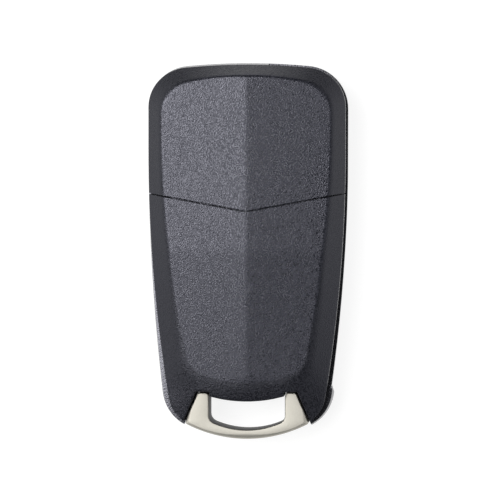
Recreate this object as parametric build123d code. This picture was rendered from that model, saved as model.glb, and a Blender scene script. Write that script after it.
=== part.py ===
from build123d import *

import math
import os
from dataclasses import dataclass, replace

# Folding car key with remote control: a one-piece front housing, a back in two covers that meet
# at a chevron, a blade that flips out of a slot in the side, and a cast loop for the key ring.
#
# The key lies on its button side, so +Z points out of its back. +Y points to the end that the
# blade leaves, and +X to the side that the folded blade lies in. The origin is the middle of the
# overall box in X and Y, at the height of the flat button face. All lengths are in millimetres.

# Overall size
length = 75.0
half_width = 20.05
height = 16.0

# Heights above the button face, and drops below the ridge of the back
front_band_z = 2.7
rim_z = 5.6
seam_z = 9.0
plateau_drop = 0.9
band_height = 2.9

# Walls, gaps between pieces, and how far a cutting solid reaches past what it cuts
wall = 1.4
front_wall = 1.6
inner_wall = 1.0
seam_gap = 0.15
cover_gap = 0.2
fit_gap = 0.1
run_gap = 0.2
cut_past = 1.0

# Outline of the housing and of the covers: drops from the head end, and rises from the loop's end
crown_radius = 130.0
bend_drop = 17.5
rim_sweep = 415.0
rim_corner_rise = 3.9
rim_bottom_rise = 0.2
rim_bottom_radius = 8.5
top_radius = 8.6
front_inset = 2.9
front_band_inset = 0.6
rim_edge_inset = 0.35
ledge = 0.4
seam_sweep = 300.0
seam_corner_rise = 4.1
seam_bottom_rise = 0.2
seam_bottom_radius = 10.0
skirt_draft = 0.22

# Plateau of the back, and the ridge along it
plateau_side_inset = 3.05
plateau_top_inset = 1.9
plateau_bend_drop = 13.5
plateau_sweep = 200.0
plateau_corner_rise = 13.9
plateau_bottom_rise = 11.3
plateau_top_radius = 6.0
plateau_bottom_radius = 6.0
crown_wall = 1.0
ridge_slope_head = 3.4
ridge_slope_tail = 2.0
ridge_drop_head = 0.15
ridge_drop_tail = 1.5
ridge_radius = 20.0

# Chevron joint between the head cover and the battery cover
chevron_end_rise = 45.35
chevron_rise = 3.7
chevron_radius = 2.0
bulkhead = 1.2
shelf_width = 1.8
shelf_thickness = 0.9
lip_depth = 1.1
lip_thickness = 0.8
lip_root = 0.8
lip_end_x = 1.0
lip_end_rise = 13.5

# Cast loop for the key ring
bail_z = 1.4
bail_top_drop = 3.4
bail_leg_x = 7.6
bail_leg_width = 2.2
bail_leg_rise = 9.1
bail_shoulder_x = 12.4
bail_shoulder_rise = 3.1
bail_bar = 1.8
bail_slot_rise = 3.6
bail_slot_radius = 1.4
bail_edge = 0.7
bail_gap = 0.15
cover_end_rise = 7.4
cover_end_bow = 1.05
tongue_length = 4.2
tongue_z = 2.3
tongue_height = 2.2
tongue_pin_radius = 0.5
tongue_pin_inset = 1.4

# Blade, its hub and the slot that it folds into
pivot_side_inset = 8.45
pivot_end_inset = 13.5
fold_angle = 3.5
drum_radius = 7.0
drum_z = 4.8
drum_web = 1.2
hub_bore = 2.9
hub_boss_radius = 4.2
hub_boss_drop = 2.5
hub_cap = 1.2
column_radius = 8.4
journal_drop = 3.1
cup_radius = 7.0
cup_wall = 1.05
key_rib = 0.6
key_rib_width = 1.0
blade_width = 8.4
blade_thickness = 2.2
blade_z = 6.4
blade_root = 3.8
blade_tip_rise = 11.6
blade_tip_flat = 2.6
blade_tip_taper = 3.0
groove_width = 2.6
groove_depth = 0.55
groove_start = 13.0
groove_margin = 4.0
stop_notch = 0.9
blade_pin_radius = 0.8
blade_pin_x = 2.6
blade_pin_y = 5.3
slot_gap = 0.4
slot_floor_z = 6.0
slot_floor = 1.4
relief_top_drop = 22.5
relief_end_rise = 10.5
relief_depth = 0.65
relief_shoulder = 1.5

# Release button in the front face under the hub, and the two springs round the pivot
release_radius = 4.8
release_recess = 0.25
release_gap = 0.15
release_flange_radius = 5.8
release_flange_z = 2.0
release_flange = 0.8
release_shaft = 2.6
release_shaft_top = 8.4
release_travel = 1.5
release_dish_radius = 3.7
release_dish_floor = 2.4
release_dish = 0.5
release_edge = 0.4
release_spring_radius = 2.1
release_spring_wire = 0.5
release_spring_pitch = 1.1
flip_spring_radius = 5.35
flip_spring_wire = 0.8
flip_spring_pitch = 1.0

# Lock and unlock buttons, in the front face
button_half_width = 9.0
button_height = 9.9
button_bar = 2.2
button_rise = 27.1
button_outer_radius = 5.0
button_inner_radius = 1.0
button_recess = 0.25
button_gap = 0.15
button_flange = 0.6
button_flange_thickness = 0.8
button_edge = 0.3
frame_gap = 0.3
frame_wall = 0.8
button_travel = 0.5
mat_gap = 0.05
plunger_x = -2.5
plunger_radius = 1.6
plunger_height = 0.65
mat_thickness = 0.8
mat_rim = 0.8
mat_skirt_half = 5.0

# Circuit board and what is on it
board_z = 6.2
board_thickness = 1.0
board_top_drop = 4.3
board_end_rise = 11.1
board_gap = 0.5
board_corner = 1.5
board_ledge = 1.2
post_radius = 1.3
post_inset = 1.8
peg_radius = 0.6
peg_height = 0.7
switch_size = 5.2
switch_height = 1.2
switch_stem = 1.3
cell_radius = 10.0
cell_height = 2.5
cell_x = -3.4
cell_cap = 0.3
cell_crimp = 1.0
cell_rib_radius = 7.0
contact_length = 10.0
contact_width = 4.0
contact_sheet = 0.2
clip_sheet = 0.25
clip_width = 4.0
clip_foot = 0.9
clip_tab = 0.8
clip_angles = (60, 120, 240, 300)
chip_width = 5.2
chip_length = 5.2
chip_height = 1.6
chip_margin = 0.2
chip_gap = 2.3
chip_spacing = 0.5
coil_length = 5.2
coil_width = 3.0
coil_height = 2.4
crystal_length = 4.0
crystal_width = 1.6
crystal_height = 1.3

# Screws that hold the head cover, under the battery cover
screw_chevron_drop = 2.15
screw_inset_left = 7.05
screw_inset_right = 5.25
screw_radius = 0.95
screw_depth = 4.5
screw_head_radius = 1.8
screw_head_height = 1.1
screw_boss_radius = 2.3
tab_z = 8.3
tab_thickness = 1.3
tab_margin = 0.8

# Worked out from the above
top_y = length / 2
low_y = -length / 2
above = 2 * height
below = -height
plateau_z = height - plateau_drop
skirt_top_z = plateau_z - band_height
rim_top_z = seam_z - seam_gap
cover_edge_z = seam_z + fit_gap
chevron_y = low_y + chevron_end_rise
bail_height = height - bail_top_drop - bail_z
bail_leg_top = low_y + bail_leg_rise
bail_shoulder_y = low_y + bail_shoulder_rise
bail_slot_corner_y = low_y + bail_slot_rise
cover_end_y = low_y + cover_end_rise
lip_end_y = low_y + lip_end_rise
tongue_top_y = bail_leg_top + tongue_length
tongue_pin_x = bail_leg_x + bail_leg_width / 2
tongue_pin_y = tongue_top_y - tongue_pin_inset
socket_top = tongue_z + tongue_height + inner_wall
pivot_x = half_width - pivot_side_inset
pivot_y = top_y - pivot_end_inset
blade_reach = (pivot_y - low_y - blade_tip_rise) / math.cos(math.radians(fold_angle))
drum_top = blade_z + blade_thickness + drum_web
journal_z = height - journal_drop
boss_top = height - hub_boss_drop
bore_top = boss_top - hub_cap
plate_inside = front_wall + fit_gap
release_flange_top = release_flange_z + release_flange
button_centre_y = low_y + button_rise
mat_z = plate_inside + button_flange_thickness + plunger_height + button_travel + mat_gap
mat_top = mat_z + mat_thickness
board_top_z = board_z + board_thickness
cell_z = rim_top_z + fit_gap
cell_top = cell_z + cell_height
tab_top = tab_z + tab_thickness


@dataclass(frozen=True)
class Outline:
    """Closed plan outline, alike on both sides of the Y axis: a crowned top, straight sides that
    sweep inwards below a bend, and a crowned bottom, with rounded corners."""

    half: float
    top: float
    bend_y: float
    sweep: float
    corner_y: float
    bottom: float
    top_radius: float
    bottom_radius: float

    def side_x(self, y):
        """Half the width at a height y: full above the bend, less by a parabola below it."""
        return self.half - max(0.0, self.bend_y - y) ** 2 / (2 * self.sweep)

    def inset(self, distance):
        """The same outline, moved inwards by a distance."""
        return replace(
            self,
            half=self.half - distance,
            top=self.top - distance,
            corner_y=self.corner_y + distance / 2,
            bottom=self.bottom + distance,
            top_radius=self.top_radius - distance,
            bottom_radius=self.bottom_radius - distance,
        )

    def towards(self, other, share):
        """An outline on the straight way from this one to another, or past it above a share of 1."""
        mix = {
            name: getattr(self, name) * (1 - share) + getattr(other, name) * share
            for name in self.__dataclass_fields__
        }
        return Outline(**mix)

    def face(self, z):
        """The outline as a flat face at a height z."""
        shoulder = self.top - self.half**2 / (2 * crown_radius)
        middle_y = (self.bend_y + self.corner_y) / 2
        middle_x = self.side_x(middle_y)
        low_x = self.side_x(self.corner_y)
        edges = [
            ThreePointArc((-self.half, shoulder), (0, self.top), (self.half, shoulder)),
            Line((self.half, shoulder), (self.half, self.bend_y)),
            ThreePointArc((self.half, self.bend_y), (middle_x, middle_y), (low_x, self.corner_y)),
            ThreePointArc((low_x, self.corner_y), (0, self.bottom), (-low_x, self.corner_y)),
            ThreePointArc((-low_x, self.corner_y), (-middle_x, middle_y), (-self.half, self.bend_y)),
            Line((-self.half, self.bend_y), (-self.half, shoulder)),
        ]
        sketch = make_face(edges)
        sketch = fillet(sketch.vertices().group_by(Axis.Y)[-1], self.top_radius)
        sketch = fillet(sketch.vertices().group_by(Axis.Y)[0], self.bottom_radius)
        return Pos(0, 0, z) * sketch.faces()[0]


rim = Outline(half_width, top_y, top_y - bend_drop, rim_sweep, low_y + rim_corner_rise,
              low_y + rim_bottom_rise, top_radius, rim_bottom_radius)
seam = Outline(half_width - ledge, top_y - ledge, top_y - bend_drop, seam_sweep,
               low_y + seam_corner_rise, low_y + seam_bottom_rise, top_radius - ledge,
               seam_bottom_radius)
skirt_top = seam.inset(skirt_draft)
plateau = Outline(half_width - plateau_side_inset, top_y - plateau_top_inset,
                  top_y - plateau_bend_drop, plateau_sweep, low_y + plateau_corner_rise,
                  low_y + plateau_bottom_rise, plateau_top_radius, plateau_bottom_radius)


def stack(*sections):
    """Solid with straight flanks through outlines, each given with its height."""
    return loft([outline.face(z) for outline, z in sections], ruled=True)


def ring(outer, inner, low, high):
    """Upright wall between two outlines, from one height to another."""
    return extrude(outer.face(low) - inner.face(low), amount=high - low)


def disc(x, y, radius, low, high):
    """Upright cylinder at a place in plan, from one height to another."""
    return Pos(x, y, low) * extrude(Circle(radius), amount=high - low)


def block(x_range, y_range, z_range):
    """Upright box between two values on each axis."""
    size = [high - low for low, high in (x_range, y_range, z_range)]
    centre = [(high + low) / 2 for low, high in (x_range, y_range, z_range)]
    return Pos(*centre) * Box(*size)


def prism(sketch, low, high):
    """Plan sketch, extruded from one height to another."""
    return Pos(0, 0, low) * extrude(sketch, amount=high - low)


def polygon(*corners):
    """Closed plan face through corners."""
    return make_face(Polyline(*corners, close=True))


def above_chevron(shift):
    """All that lies on the head's side of the chevron joint, moved along Y by a shift."""
    reach = 2 * half_width
    side_y = chevron_y + shift + chevron_rise * reach / half_width
    face = polygon((0, chevron_y + shift), (reach, side_y), (reach, length), (-reach, length),
                   (-reach, side_y))
    face = fillet(face.vertices().sort_by(Axis.Y)[0], chevron_radius)
    return prism(face, 0, above)


def bail_zone(margin):
    """All that the bail, its slot and its way out take up, grown by a margin."""
    inner_x = bail_leg_x
    outer_x = bail_leg_x + bail_leg_width
    lean = (bail_shoulder_x - outer_x) / (bail_leg_top - bail_shoulder_y)
    far_y = -length
    far_x = outer_x + lean * (bail_leg_top - far_y)
    end_y = cover_end_y + cover_end_bow
    top = ThreePointArc((-inner_x, end_y), (0, cover_end_y), (inner_x, end_y))
    rest = Polyline((inner_x, end_y), (inner_x, bail_leg_top), (outer_x, bail_leg_top),
                    (far_x, far_y), (-far_x, far_y), (-outer_x, bail_leg_top),
                    (-inner_x, bail_leg_top), (-inner_x, end_y))
    face = offset(make_face([top, rest]), amount=margin, kind=Kind.INTERSECTION)
    return prism(face, below, above)


def in_blade_frame(x, y):
    """Plan point given in the folded blade's frame, whose origin is the pivot and -Y its length."""
    turn = math.radians(-fold_angle)
    return (pivot_x + x * math.cos(turn) - y * math.sin(turn),
            pivot_y + x * math.sin(turn) + y * math.cos(turn))


def slot_side_x(y):
    """X of the blade slot's inner side at a height y in plan."""
    start_x, start_y = in_blade_frame(drum_radius - blade_width - slot_gap, 0)
    return start_x - (start_y - y) * math.tan(math.radians(fold_angle))


def board_left_x(y):
    """X of the circuit board's edge beside the housing's wall."""
    return wall + board_gap - seam.side_x(y)


def board_right_x(y):
    """X of the circuit board's edge beside the wall of the blade's slot."""
    return slot_side_x(y) - inner_wall - board_gap


def slot_zone():
    """Plan face that the blade sweeps between its folded and its open place."""
    far = length
    inner_x = drum_radius - blade_width - slot_gap
    end_y = -blade_reach - slot_gap
    open_x = pivot_x - drum_radius - slot_gap
    return polygon(in_blade_frame(inner_x, 0), in_blade_frame(inner_x, end_y),
                   in_blade_frame(far, end_y), (far, far), (open_x, far), (open_x, pivot_y))


def roof(drop):
    """All below the two slopes of the back, lowered by a drop."""
    stations = ((top_y, height - ridge_drop_head, ridge_slope_head), (0, height, ridge_slope_head),
                (low_y, height - ridge_drop_tail, ridge_slope_tail))
    sections = []
    for y, ridge_z, slope in stations:
        eave_z = ridge_z - half_width * math.tan(math.radians(slope)) - drop
        plane = Plane(origin=(0, y, 0), x_dir=(1, 0, 0), z_dir=(0, -1, 0))
        face = polygon((-half_width, 0), (half_width, 0), (half_width, eave_z),
                       (0, ridge_z - drop), (-half_width, eave_z))
        face = fillet(face.vertices().sort_by(Axis.Y)[-1], ridge_radius)
        sections.append(plane * face.faces()[0])
    return loft(sections, ruled=True)


def cover_form(inset, drop, low):
    """Form of both covers together, moved inwards and down, and reaching down to a height."""
    past = height + cut_past
    share = (past - skirt_top_z) / band_height
    flank = skirt_top.inset(inset)
    beyond = flank.towards(plateau.inset(inset), share)
    return stack((seam.inset(inset), low), (flank, skirt_top_z - drop), (beyond, past - drop))


def cavity(extra, low):
    """Space inside both covers, made smaller by an extra wall, from a height up to the roof."""
    space = cover_form(wall + extra, crown_wall + extra, low) & roof(crown_wall + extra)
    return space - bail_zone(bail_gap + wall + extra)


def at_hub(shape):
    """Shape made in the folded blade's frame, put in its place."""
    return Pos(pivot_x, pivot_y, 0) * Rot(0, 0, -fold_angle) * shape


def seam_lip(region):
    """Lip of a cover that reaches down inside the housing's wall, within a region."""
    inner = seam.inset(wall + fit_gap + lip_thickness)
    lip = ring(seam.inset(wall + fit_gap), inner, seam_z - lip_depth, seam_z + lip_root)
    lip += ring(seam.inset(wall / 2), inner, seam_z, seam_z + lip_root)
    return lip & region


def head_cover():
    """Upper back cover: the journal for the hub, a bulkhead along the chevron with a shelf that the
    battery cover lies on, a screw tab and a lip inside the housing."""
    joint = cover_gap / 2
    outside = form & above_chevron(joint)
    cover = outside - cavity(0, seam_z - cut_past)
    cover += cavity(0, seam_z) & (above_chevron(joint) - above_chevron(joint + bulkhead))
    shelf = cavity(fit_gap, seam_z) - cavity(fit_gap + shelf_thickness, seam_z - cut_past)
    cover += shelf & (above_chevron(-shelf_width) - above_chevron(joint + bulkhead / 2))

    tab_reach = screw_head_radius + tab_margin
    tab_low = min(y for x, y in screw_spots) - screw_head_radius - fit_gap
    tab = block((min(screw_xs) - tab_reach, max(screw_xs) + tab_reach),
                (tab_low, chevron_y + chevron_rise), (tab_z, tab_top))
    cover += tab - above_chevron(joint + bulkhead)
    for x, y in screw_spots:
        cover -= disc(x, y, screw_radius + fit_gap, tab_z, tab_top)

    lip_zone = block((-half_width, lip_end_x), (0, length), (0, height)) & above_chevron(joint + bulkhead)
    cover += seam_lip(lip_zone)

    cover += disc(pivot_x, pivot_y, cup_radius, drum_top + run_gap, height) & outside
    cover -= disc(pivot_x, pivot_y, cup_radius - cup_wall, drum_top, journal_z)
    cover -= disc(pivot_x, pivot_y, hub_boss_radius + fit_gap, drum_top, boss_top + run_gap)
    cover -= disc(pivot_x, pivot_y, drum_radius + run_gap, 0, drum_top + run_gap)
    return cover


def battery_cover():
    """Lower back cover: a thin shell with a rib over the cell and a lip inside the housing."""
    beside = above_chevron(-cover_gap / 2)
    outside = form - beside
    cover = outside - cavity(0, seam_z - cut_past)
    rib = disc(cell_x, cell_y, cell_rib_radius, cell_top + fit_gap, height)
    rib -= disc(cell_x, cell_y, cell_rib_radius - inner_wall, cell_top, height)
    cover += rib & outside
    lip_zone = block((-half_width, 0), (lip_end_y, length), (0, height))
    cover += seam_lip(lip_zone - above_chevron(-shelf_width - run_gap))
    return cover


def relief():
    """Room beside the folded blade: the housing's flank sweeps in and steps out again past the tip."""
    far = 2 * half_width
    relief_top_y = top_y - relief_top_drop
    relief_end_y = low_y + relief_end_rise
    middle_y = (relief_top_y + relief_end_y) / 2
    foot_y = relief_end_y - relief_shoulder
    arc = ThreePointArc(
        (rim.side_x(relief_top_y), relief_top_y),
        (rim.side_x(middle_y) - relief_depth / 3, middle_y),
        (rim.side_x(relief_end_y) - relief_depth, relief_end_y),
    )
    rest = Polyline(arc @ 1, (rim.side_x(foot_y) + fit_gap, foot_y), (far, foot_y),
                    (far, relief_top_y), arc @ 0)
    return prism(make_face([arc, rest]), below, above)


def button_face(side, margin):
    """Plan face of a front button, grown by a margin: side 1 is the upper one and -1 the lower."""
    near = button_bar / 2 - margin
    far = button_bar / 2 + button_height + margin
    middle_y = button_centre_y + side * (near + far) / 2
    face = Pos(0, middle_y) * Rectangle(2 * (button_half_width + margin), far - near)
    far_row, near_row = (-1, 0) if side > 0 else (0, -1)
    face = fillet(face.vertices().group_by(Axis.Y)[far_row], button_outer_radius + margin)
    return fillet(face.vertices().group_by(Axis.Y)[near_row], button_inner_radius + margin)


def button_frame():
    """Upright frame round the two front buttons, on which the rubber mat lies."""
    half_x = button_half_width + button_flange + frame_gap
    half_y = button_bar / 2 + button_height + button_flange + frame_gap
    low_y = button_centre_y - half_y
    high_y = button_centre_y + half_y
    heights = (front_wall / 2, mat_z)
    frame = block((-half_x - frame_wall, half_x + frame_wall),
                  (low_y - frame_wall, high_y + frame_wall), heights)
    return frame - block((-half_x, half_x), (low_y, high_y), heights)


def tongue_socket(side):
    """Block inside the housing that takes a tongue of the bail: side 1 is the right one."""
    reach = sorted((side * (bail_leg_x - inner_wall), side * (bail_leg_x + bail_leg_width + inner_wall)))
    return block(reach, (bail_leg_top, tongue_top_y + inner_wall), (front_wall / 2, socket_top))


def tongue(side, margin):
    """Tongue of the bail inside the housing, grown by a margin."""
    reach = sorted((side * (bail_leg_x - margin), side * (bail_leg_x + bail_leg_width + margin)))
    return block(reach, (bail_leg_top - cut_past, tongue_top_y + margin),
                 (tongue_z - margin, tongue_z + tongue_height + margin))


def front_housing():
    """Front half of the key: a tub with the buttons' windows, the well of the hub, the slot of the
    blade, posts for the board, bosses for the screws and sockets for the bail."""
    outside = stack((rim.inset(front_inset), 0), (rim.inset(front_band_inset), front_band_z),
                    (rim, rim_z), (rim.inset(rim_edge_inset), rim_top_z))
    outside -= bail_zone(bail_gap)
    outside -= relief()
    room = stack((seam.inset(wall + inner_wall), front_wall), (seam.inset(wall), front_band_z + fit_gap),
                 (seam.inset(wall), above))
    housing = outside - (room - bail_zone(bail_gap + wall))

    fittings = disc(pivot_x, pivot_y, column_radius, front_wall / 2, rim_top_z)
    fittings += prism(offset(slot_zone(), amount=inner_wall, kind=Kind.INTERSECTION),
                      slot_floor_z - slot_floor, rim_top_z)
    fittings += prism(offset(slot_zone(), amount=inner_wall + board_ledge, kind=Kind.INTERSECTION),
                      slot_floor_z - slot_floor, board_z) & block(
        (0, pivot_x), (board_bottom + board_corner, board_top - board_corner), (0, height))
    fittings += button_frame()
    for x, y in post_spots:
        fittings += disc(x, y, post_radius, front_wall / 2, board_z)
        fittings += disc(x, y, peg_radius, board_z, board_top_z + peg_height)
    for x, y in screw_spots:
        fittings += disc(x, y, screw_boss_radius, front_wall / 2, tab_z)
    for side in (-1, 1):
        fittings += tongue_socket(side)
    housing += fittings & outside

    housing -= prism(slot_zone(), slot_floor_z, above)
    housing -= disc(pivot_x, pivot_y, drum_radius + run_gap, drum_z - fit_gap, above)
    housing -= disc(pivot_x, pivot_y, release_flange_radius + run_gap, release_flange_z - fit_gap, drum_z)
    housing -= disc(pivot_x, pivot_y, release_radius + release_gap, below, release_flange_z)
    for side in (-1, 1):
        housing -= prism(button_face(side, 0), below, front_wall + fit_gap)
        housing -= tongue(side, fit_gap)
        housing -= disc(side * tongue_pin_x, tongue_pin_y, tongue_pin_radius, front_wall, slot_floor_z)
    for x, y in screw_spots:
        housing -= disc(x, y, screw_radius, tab_top - screw_depth, tab_z)
    return housing


def keyring_bail():
    """Cast loop for the key ring, with a tongue up into the housing on each leg."""
    outer_x = bail_leg_x + bail_leg_width
    shoulder = (bail_shoulder_x, bail_shoulder_y)
    edges = [
        ThreePointArc((-shoulder[0], shoulder[1]), (0, low_y), shoulder),
        Polyline(shoulder, (outer_x, bail_leg_top), (bail_leg_x, bail_leg_top),
                 (bail_leg_x, bail_slot_corner_y)),
        ThreePointArc((bail_leg_x, bail_slot_corner_y), (0, low_y + bail_bar),
                      (-bail_leg_x, bail_slot_corner_y)),
        Polyline((-bail_leg_x, bail_slot_corner_y), (-bail_leg_x, bail_leg_top),
                 (-outer_x, bail_leg_top), (-shoulder[0], shoulder[1])),
    ]
    face = make_face(edges)
    corners = face.vertices().filter_by(lambda v: abs(v.Y - bail_slot_corner_y) < fit_gap)
    face = fillet(corners, bail_slot_radius)
    tips = face.vertices().group_by(Axis.Y)[-1]
    face = fillet(tips, bail_leg_width / 4)
    drop = bail_shoulder_y - low_y
    bow = (bail_shoulder_x**2 + drop**2) / (2 * drop)
    dish = disc(0, low_y + bow, bow, bail_z, bail_z + bail_height)
    dish = chamfer(dish.edges().filter_by(GeomType.CIRCLE), bail_edge)
    loop = prism(face, bail_z, bail_z + bail_height) & dish
    for side in (-1, 1):
        loop += tongue(side, 0)
        loop -= disc(side * tongue_pin_x, tongue_pin_y, tongue_pin_radius, 0, above)
    return loop


def bail_pin(side):
    """Dowel that holds a tongue of the bail in its socket."""
    return disc(side * tongue_pin_x, tongue_pin_y, tongue_pin_radius, front_wall, socket_top)


def blade_hub():
    """Drum that carries the blade: a keyed bore for the release button, and a boss in the cover."""
    hub = disc(0, 0, drum_radius, drum_z, drum_top)
    hub += disc(0, 0, hub_boss_radius, drum_top, boss_top)
    hub -= disc(0, 0, hub_bore, drum_z, bore_top)
    hub -= key_ribs(hub_bore + key_rib, key_rib_width / 2 + fit_gap, drum_z, release_shaft_top + fit_gap)
    hub -= block((drum_radius - blade_width, 2 * drum_radius), (-2 * drum_radius, -blade_root),
                 (blade_z, blade_z + blade_thickness))
    hub -= disc(blade_pin_x, -blade_pin_y, blade_pin_radius, drum_z, drum_top)
    return at_hub(hub)


def key_ribs(reach, half, low, high):
    """Two ribs from the pivot out, away from the blade, in the blade's frame."""
    return block((-reach, 0), (-half, half), (low, high)) + block((-half, half), (0, reach), (low, high))


def key_blade():
    """Uncut flip blade: a flat bar with a tapered tip, a groove in each face and two stop notches."""
    left_x = drum_radius - blade_width
    right_x = drum_radius
    middle_x = (left_x + right_x) / 2
    taper_y = -blade_reach + blade_tip_taper
    outline = polygon((left_x, -blade_root), (left_x, taper_y),
                      (middle_x - blade_tip_flat / 2, -blade_reach),
                      (middle_x + blade_tip_flat / 2, -blade_reach), (right_x, taper_y),
                      (right_x, -blade_root))
    blade = prism(outline, blade_z, blade_z + blade_thickness)
    groove_end = -blade_reach + groove_margin
    groove = Rot(0, 0, 90) * SlotOverall(-groove_start - groove_end, groove_width)
    groove_y = (-groove_start + groove_end) / 2
    shift = groove_width / 4
    low_groove = Pos(middle_x - shift, groove_y, blade_z) * extrude(groove, amount=groove_depth)
    high_groove = Pos(middle_x + shift, groove_y, blade_z + blade_thickness - groove_depth) * extrude(
        groove, amount=groove_depth)
    blade -= low_groove
    blade -= high_groove
    notch_y = -(drum_radius + groove_start) / 2
    for x in (left_x, right_x):
        blade -= disc(x, notch_y, stop_notch, blade_z, blade_z + blade_thickness)
    blade -= disc(blade_pin_x, -blade_pin_y, blade_pin_radius, blade_z, blade_z + blade_thickness)
    return at_hub(blade)


def blade_pin():
    """Roll pin that holds the blade in the hub, split along one side."""
    pin = disc(blade_pin_x, -blade_pin_y, blade_pin_radius, drum_z, drum_top)
    pin -= disc(blade_pin_x, -blade_pin_y, blade_pin_radius / 2, drum_z, drum_top)
    return at_hub(pin)


def coil_spring(radius, wire, pitch, low, high):
    """Coil of square wire standing between two heights, round the pivot."""
    path = Helix(pitch=pitch, height=high - low - wire, radius=radius)
    section = Plane(origin=path @ 0, x_dir=(1, 0, 0), z_dir=path % 0) * Rectangle(wire, wire)
    coil = sweep(section, path=path, is_frenet=True)
    return at_hub(Pos(0, 0, low + wire / 2) * coil)


def flip_spring():
    """Torsion spring round the hub's boss, which throws the blade out."""
    return coil_spring(flip_spring_radius, flip_spring_wire, flip_spring_pitch,
                       drum_top + fit_gap / 2, journal_z - fit_gap / 2)


def release_spring():
    """Compression spring in the hub, which pushes the release button out."""
    return coil_spring(release_spring_radius, release_spring_wire, release_spring_pitch,
                       release_shaft_top + fit_gap / 2, bore_top - fit_gap / 2)


def release_button():
    """Round push button with a dished face, a flange inside the housing and a keyed shaft."""
    cap = disc(0, 0, release_radius, release_recess, release_flange_z)
    cap = chamfer(cap.edges().sort_by(Axis.Z)[0], release_edge)
    dish = Cone(release_dish_radius, release_dish_floor, release_dish,
                align=(Align.CENTER, Align.CENTER, Align.MIN))
    cap -= Pos(0, 0, release_recess) * dish
    button = cap + disc(0, 0, release_flange_radius, release_flange_z, release_flange_top)
    button += disc(0, 0, release_shaft, release_flange_top, release_shaft_top)
    button += key_ribs(hub_bore + key_rib / 2, key_rib_width / 2, release_flange_top,
                       release_shaft_top - release_travel)
    return at_hub(button)


def front_button(side):
    """Lock or unlock button: a cap in its window, a flange behind the wall and a plunger."""
    cap = prism(button_face(side, -button_gap), button_recess, plate_inside)
    cap = chamfer(cap.edges().group_by(Axis.Z)[0], button_edge)
    flange_top = plate_inside + button_flange_thickness
    plunger_y = button_centre_y + side * (button_bar + button_height) / 2
    button = cap + prism(button_face(side, button_flange), plate_inside, flange_top)
    return button + disc(plunger_x, plunger_y, plunger_radius, flange_top, flange_top + plunger_height)


def button_mat():
    """Rubber mat over both buttons, with a skirt round the switches that the board presses on."""
    half_x = button_half_width + button_flange + frame_gap + frame_wall
    half_y = button_bar / 2 + button_height + button_flange + frame_gap + frame_wall
    low_y = button_centre_y - half_y
    high_y = button_centre_y + half_y
    mat = block((-half_x, half_x), (low_y, high_y), (mat_z, mat_top))
    skirt_x = (plunger_x - mat_skirt_half, plunger_x + mat_skirt_half)
    skirt_y = (low_y + frame_wall, high_y - frame_wall)
    skirt = block(skirt_x, skirt_y, (mat_top, board_z))
    skirt -= block((skirt_x[0] + mat_rim, skirt_x[1] - mat_rim),
                   (skirt_y[0] + mat_rim, skirt_y[1] - mat_rim), (mat_top, board_z))
    return mat + skirt


def circuit_board():
    """Board between the housing's left wall and the wall of the blade slot."""
    face = polygon((board_left_x(board_bottom), board_bottom), (board_left_x(board_top), board_top),
                   (board_right_x(board_top), board_top), (board_right_x(board_bottom), board_bottom))
    face = fillet(face.vertices(), board_corner)
    board = prism(face, board_z, board_top_z)
    for x, y in post_spots:
        board -= disc(x, y, peg_radius + fit_gap, board_z, board_top_z)
    return board


def push_switch(side):
    """Push switch under the board, over a button's plunger."""
    half = switch_size / 2
    centre_y = button_centre_y + side * (button_bar + button_height) / 2
    low = board_z - switch_height
    body = block((plunger_x - half, plunger_x + half), (centre_y - half, centre_y + half), (low, board_z))
    return body + disc(plunger_x, centre_y, switch_stem, mat_top, low)


def battery_cell():
    """Coin cell: a can with a bevelled rim, and a smaller cap below it."""
    can = disc(cell_x, cell_y, cell_radius, cell_z + cell_cap, cell_top)
    can = chamfer(can.edges().filter_by(GeomType.CIRCLE), cell_cap)
    return can + disc(cell_x, cell_y, cell_radius - cell_crimp, cell_z, cell_z + 2 * cell_cap)


def bent_sheet(points, width):
    """Bent sheet-metal piece: its section in X and Z, extruded to a width about Y 0."""
    return extrude(Plane.XZ * polygon(*points), amount=width / 2, both=True)


def battery_contact():
    """Spring contact under the cell: a foot on the board, and an arm that rises to the cell."""
    reach = contact_length / 2
    low = board_top_z
    tip = cell_z - fit_gap / 2
    points = ((-reach, low), (0, low), (reach, tip - contact_sheet), (reach, tip),
              (-contact_sheet, low + contact_sheet), (-reach, low + contact_sheet))
    return Pos(cell_x, cell_y, 0) * bent_sheet(points, contact_width)


def battery_clips():
    """Sheet clips round the cell: a foot on the board, an upright, and tabs under and over the cell."""
    inner = cell_radius + fit_gap / 2
    outer = inner + clip_sheet
    tip = inner - clip_tab
    foot_top = board_top_z + clip_sheet
    seat_top = cell_z - fit_gap / 2
    lip_low = cell_top + fit_gap / 2
    lip_top = lip_low + clip_sheet
    points = ((inner, board_top_z), (outer + clip_foot, board_top_z), (outer + clip_foot, foot_top),
              (outer, foot_top), (outer, lip_top), (tip, lip_top), (tip, lip_low), (inner, lip_low),
              (inner, seat_top), (tip, seat_top), (tip, seat_top - clip_sheet),
              (inner, seat_top - clip_sheet))
    clip = bent_sheet(points, clip_width)
    return Compound([Pos(cell_x, cell_y, 0) * Rot(0, 0, angle) * clip for angle in clip_angles])


def board_chip(x, y, size_x, size_y, size_z):
    """Moulded part that stands on the board."""
    part = block((x - size_x / 2, x + size_x / 2), (y - size_y / 2, y + size_y / 2),
                 (board_top_z, board_top_z + size_z))
    return chamfer(part.faces().sort_by(Axis.Z)[-1].edges(), size_z / 8)


def head_cover_screws():
    """Two pan-head screws through the head cover's tab, into the housing's bosses."""
    screws = []
    for x, y in screw_spots:
        head = disc(x, y, screw_head_radius, tab_top, tab_top + screw_head_height)
        screws.append(head + disc(x, y, screw_radius, tab_top - screw_depth, tab_top))
    return Compound(screws)


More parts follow.
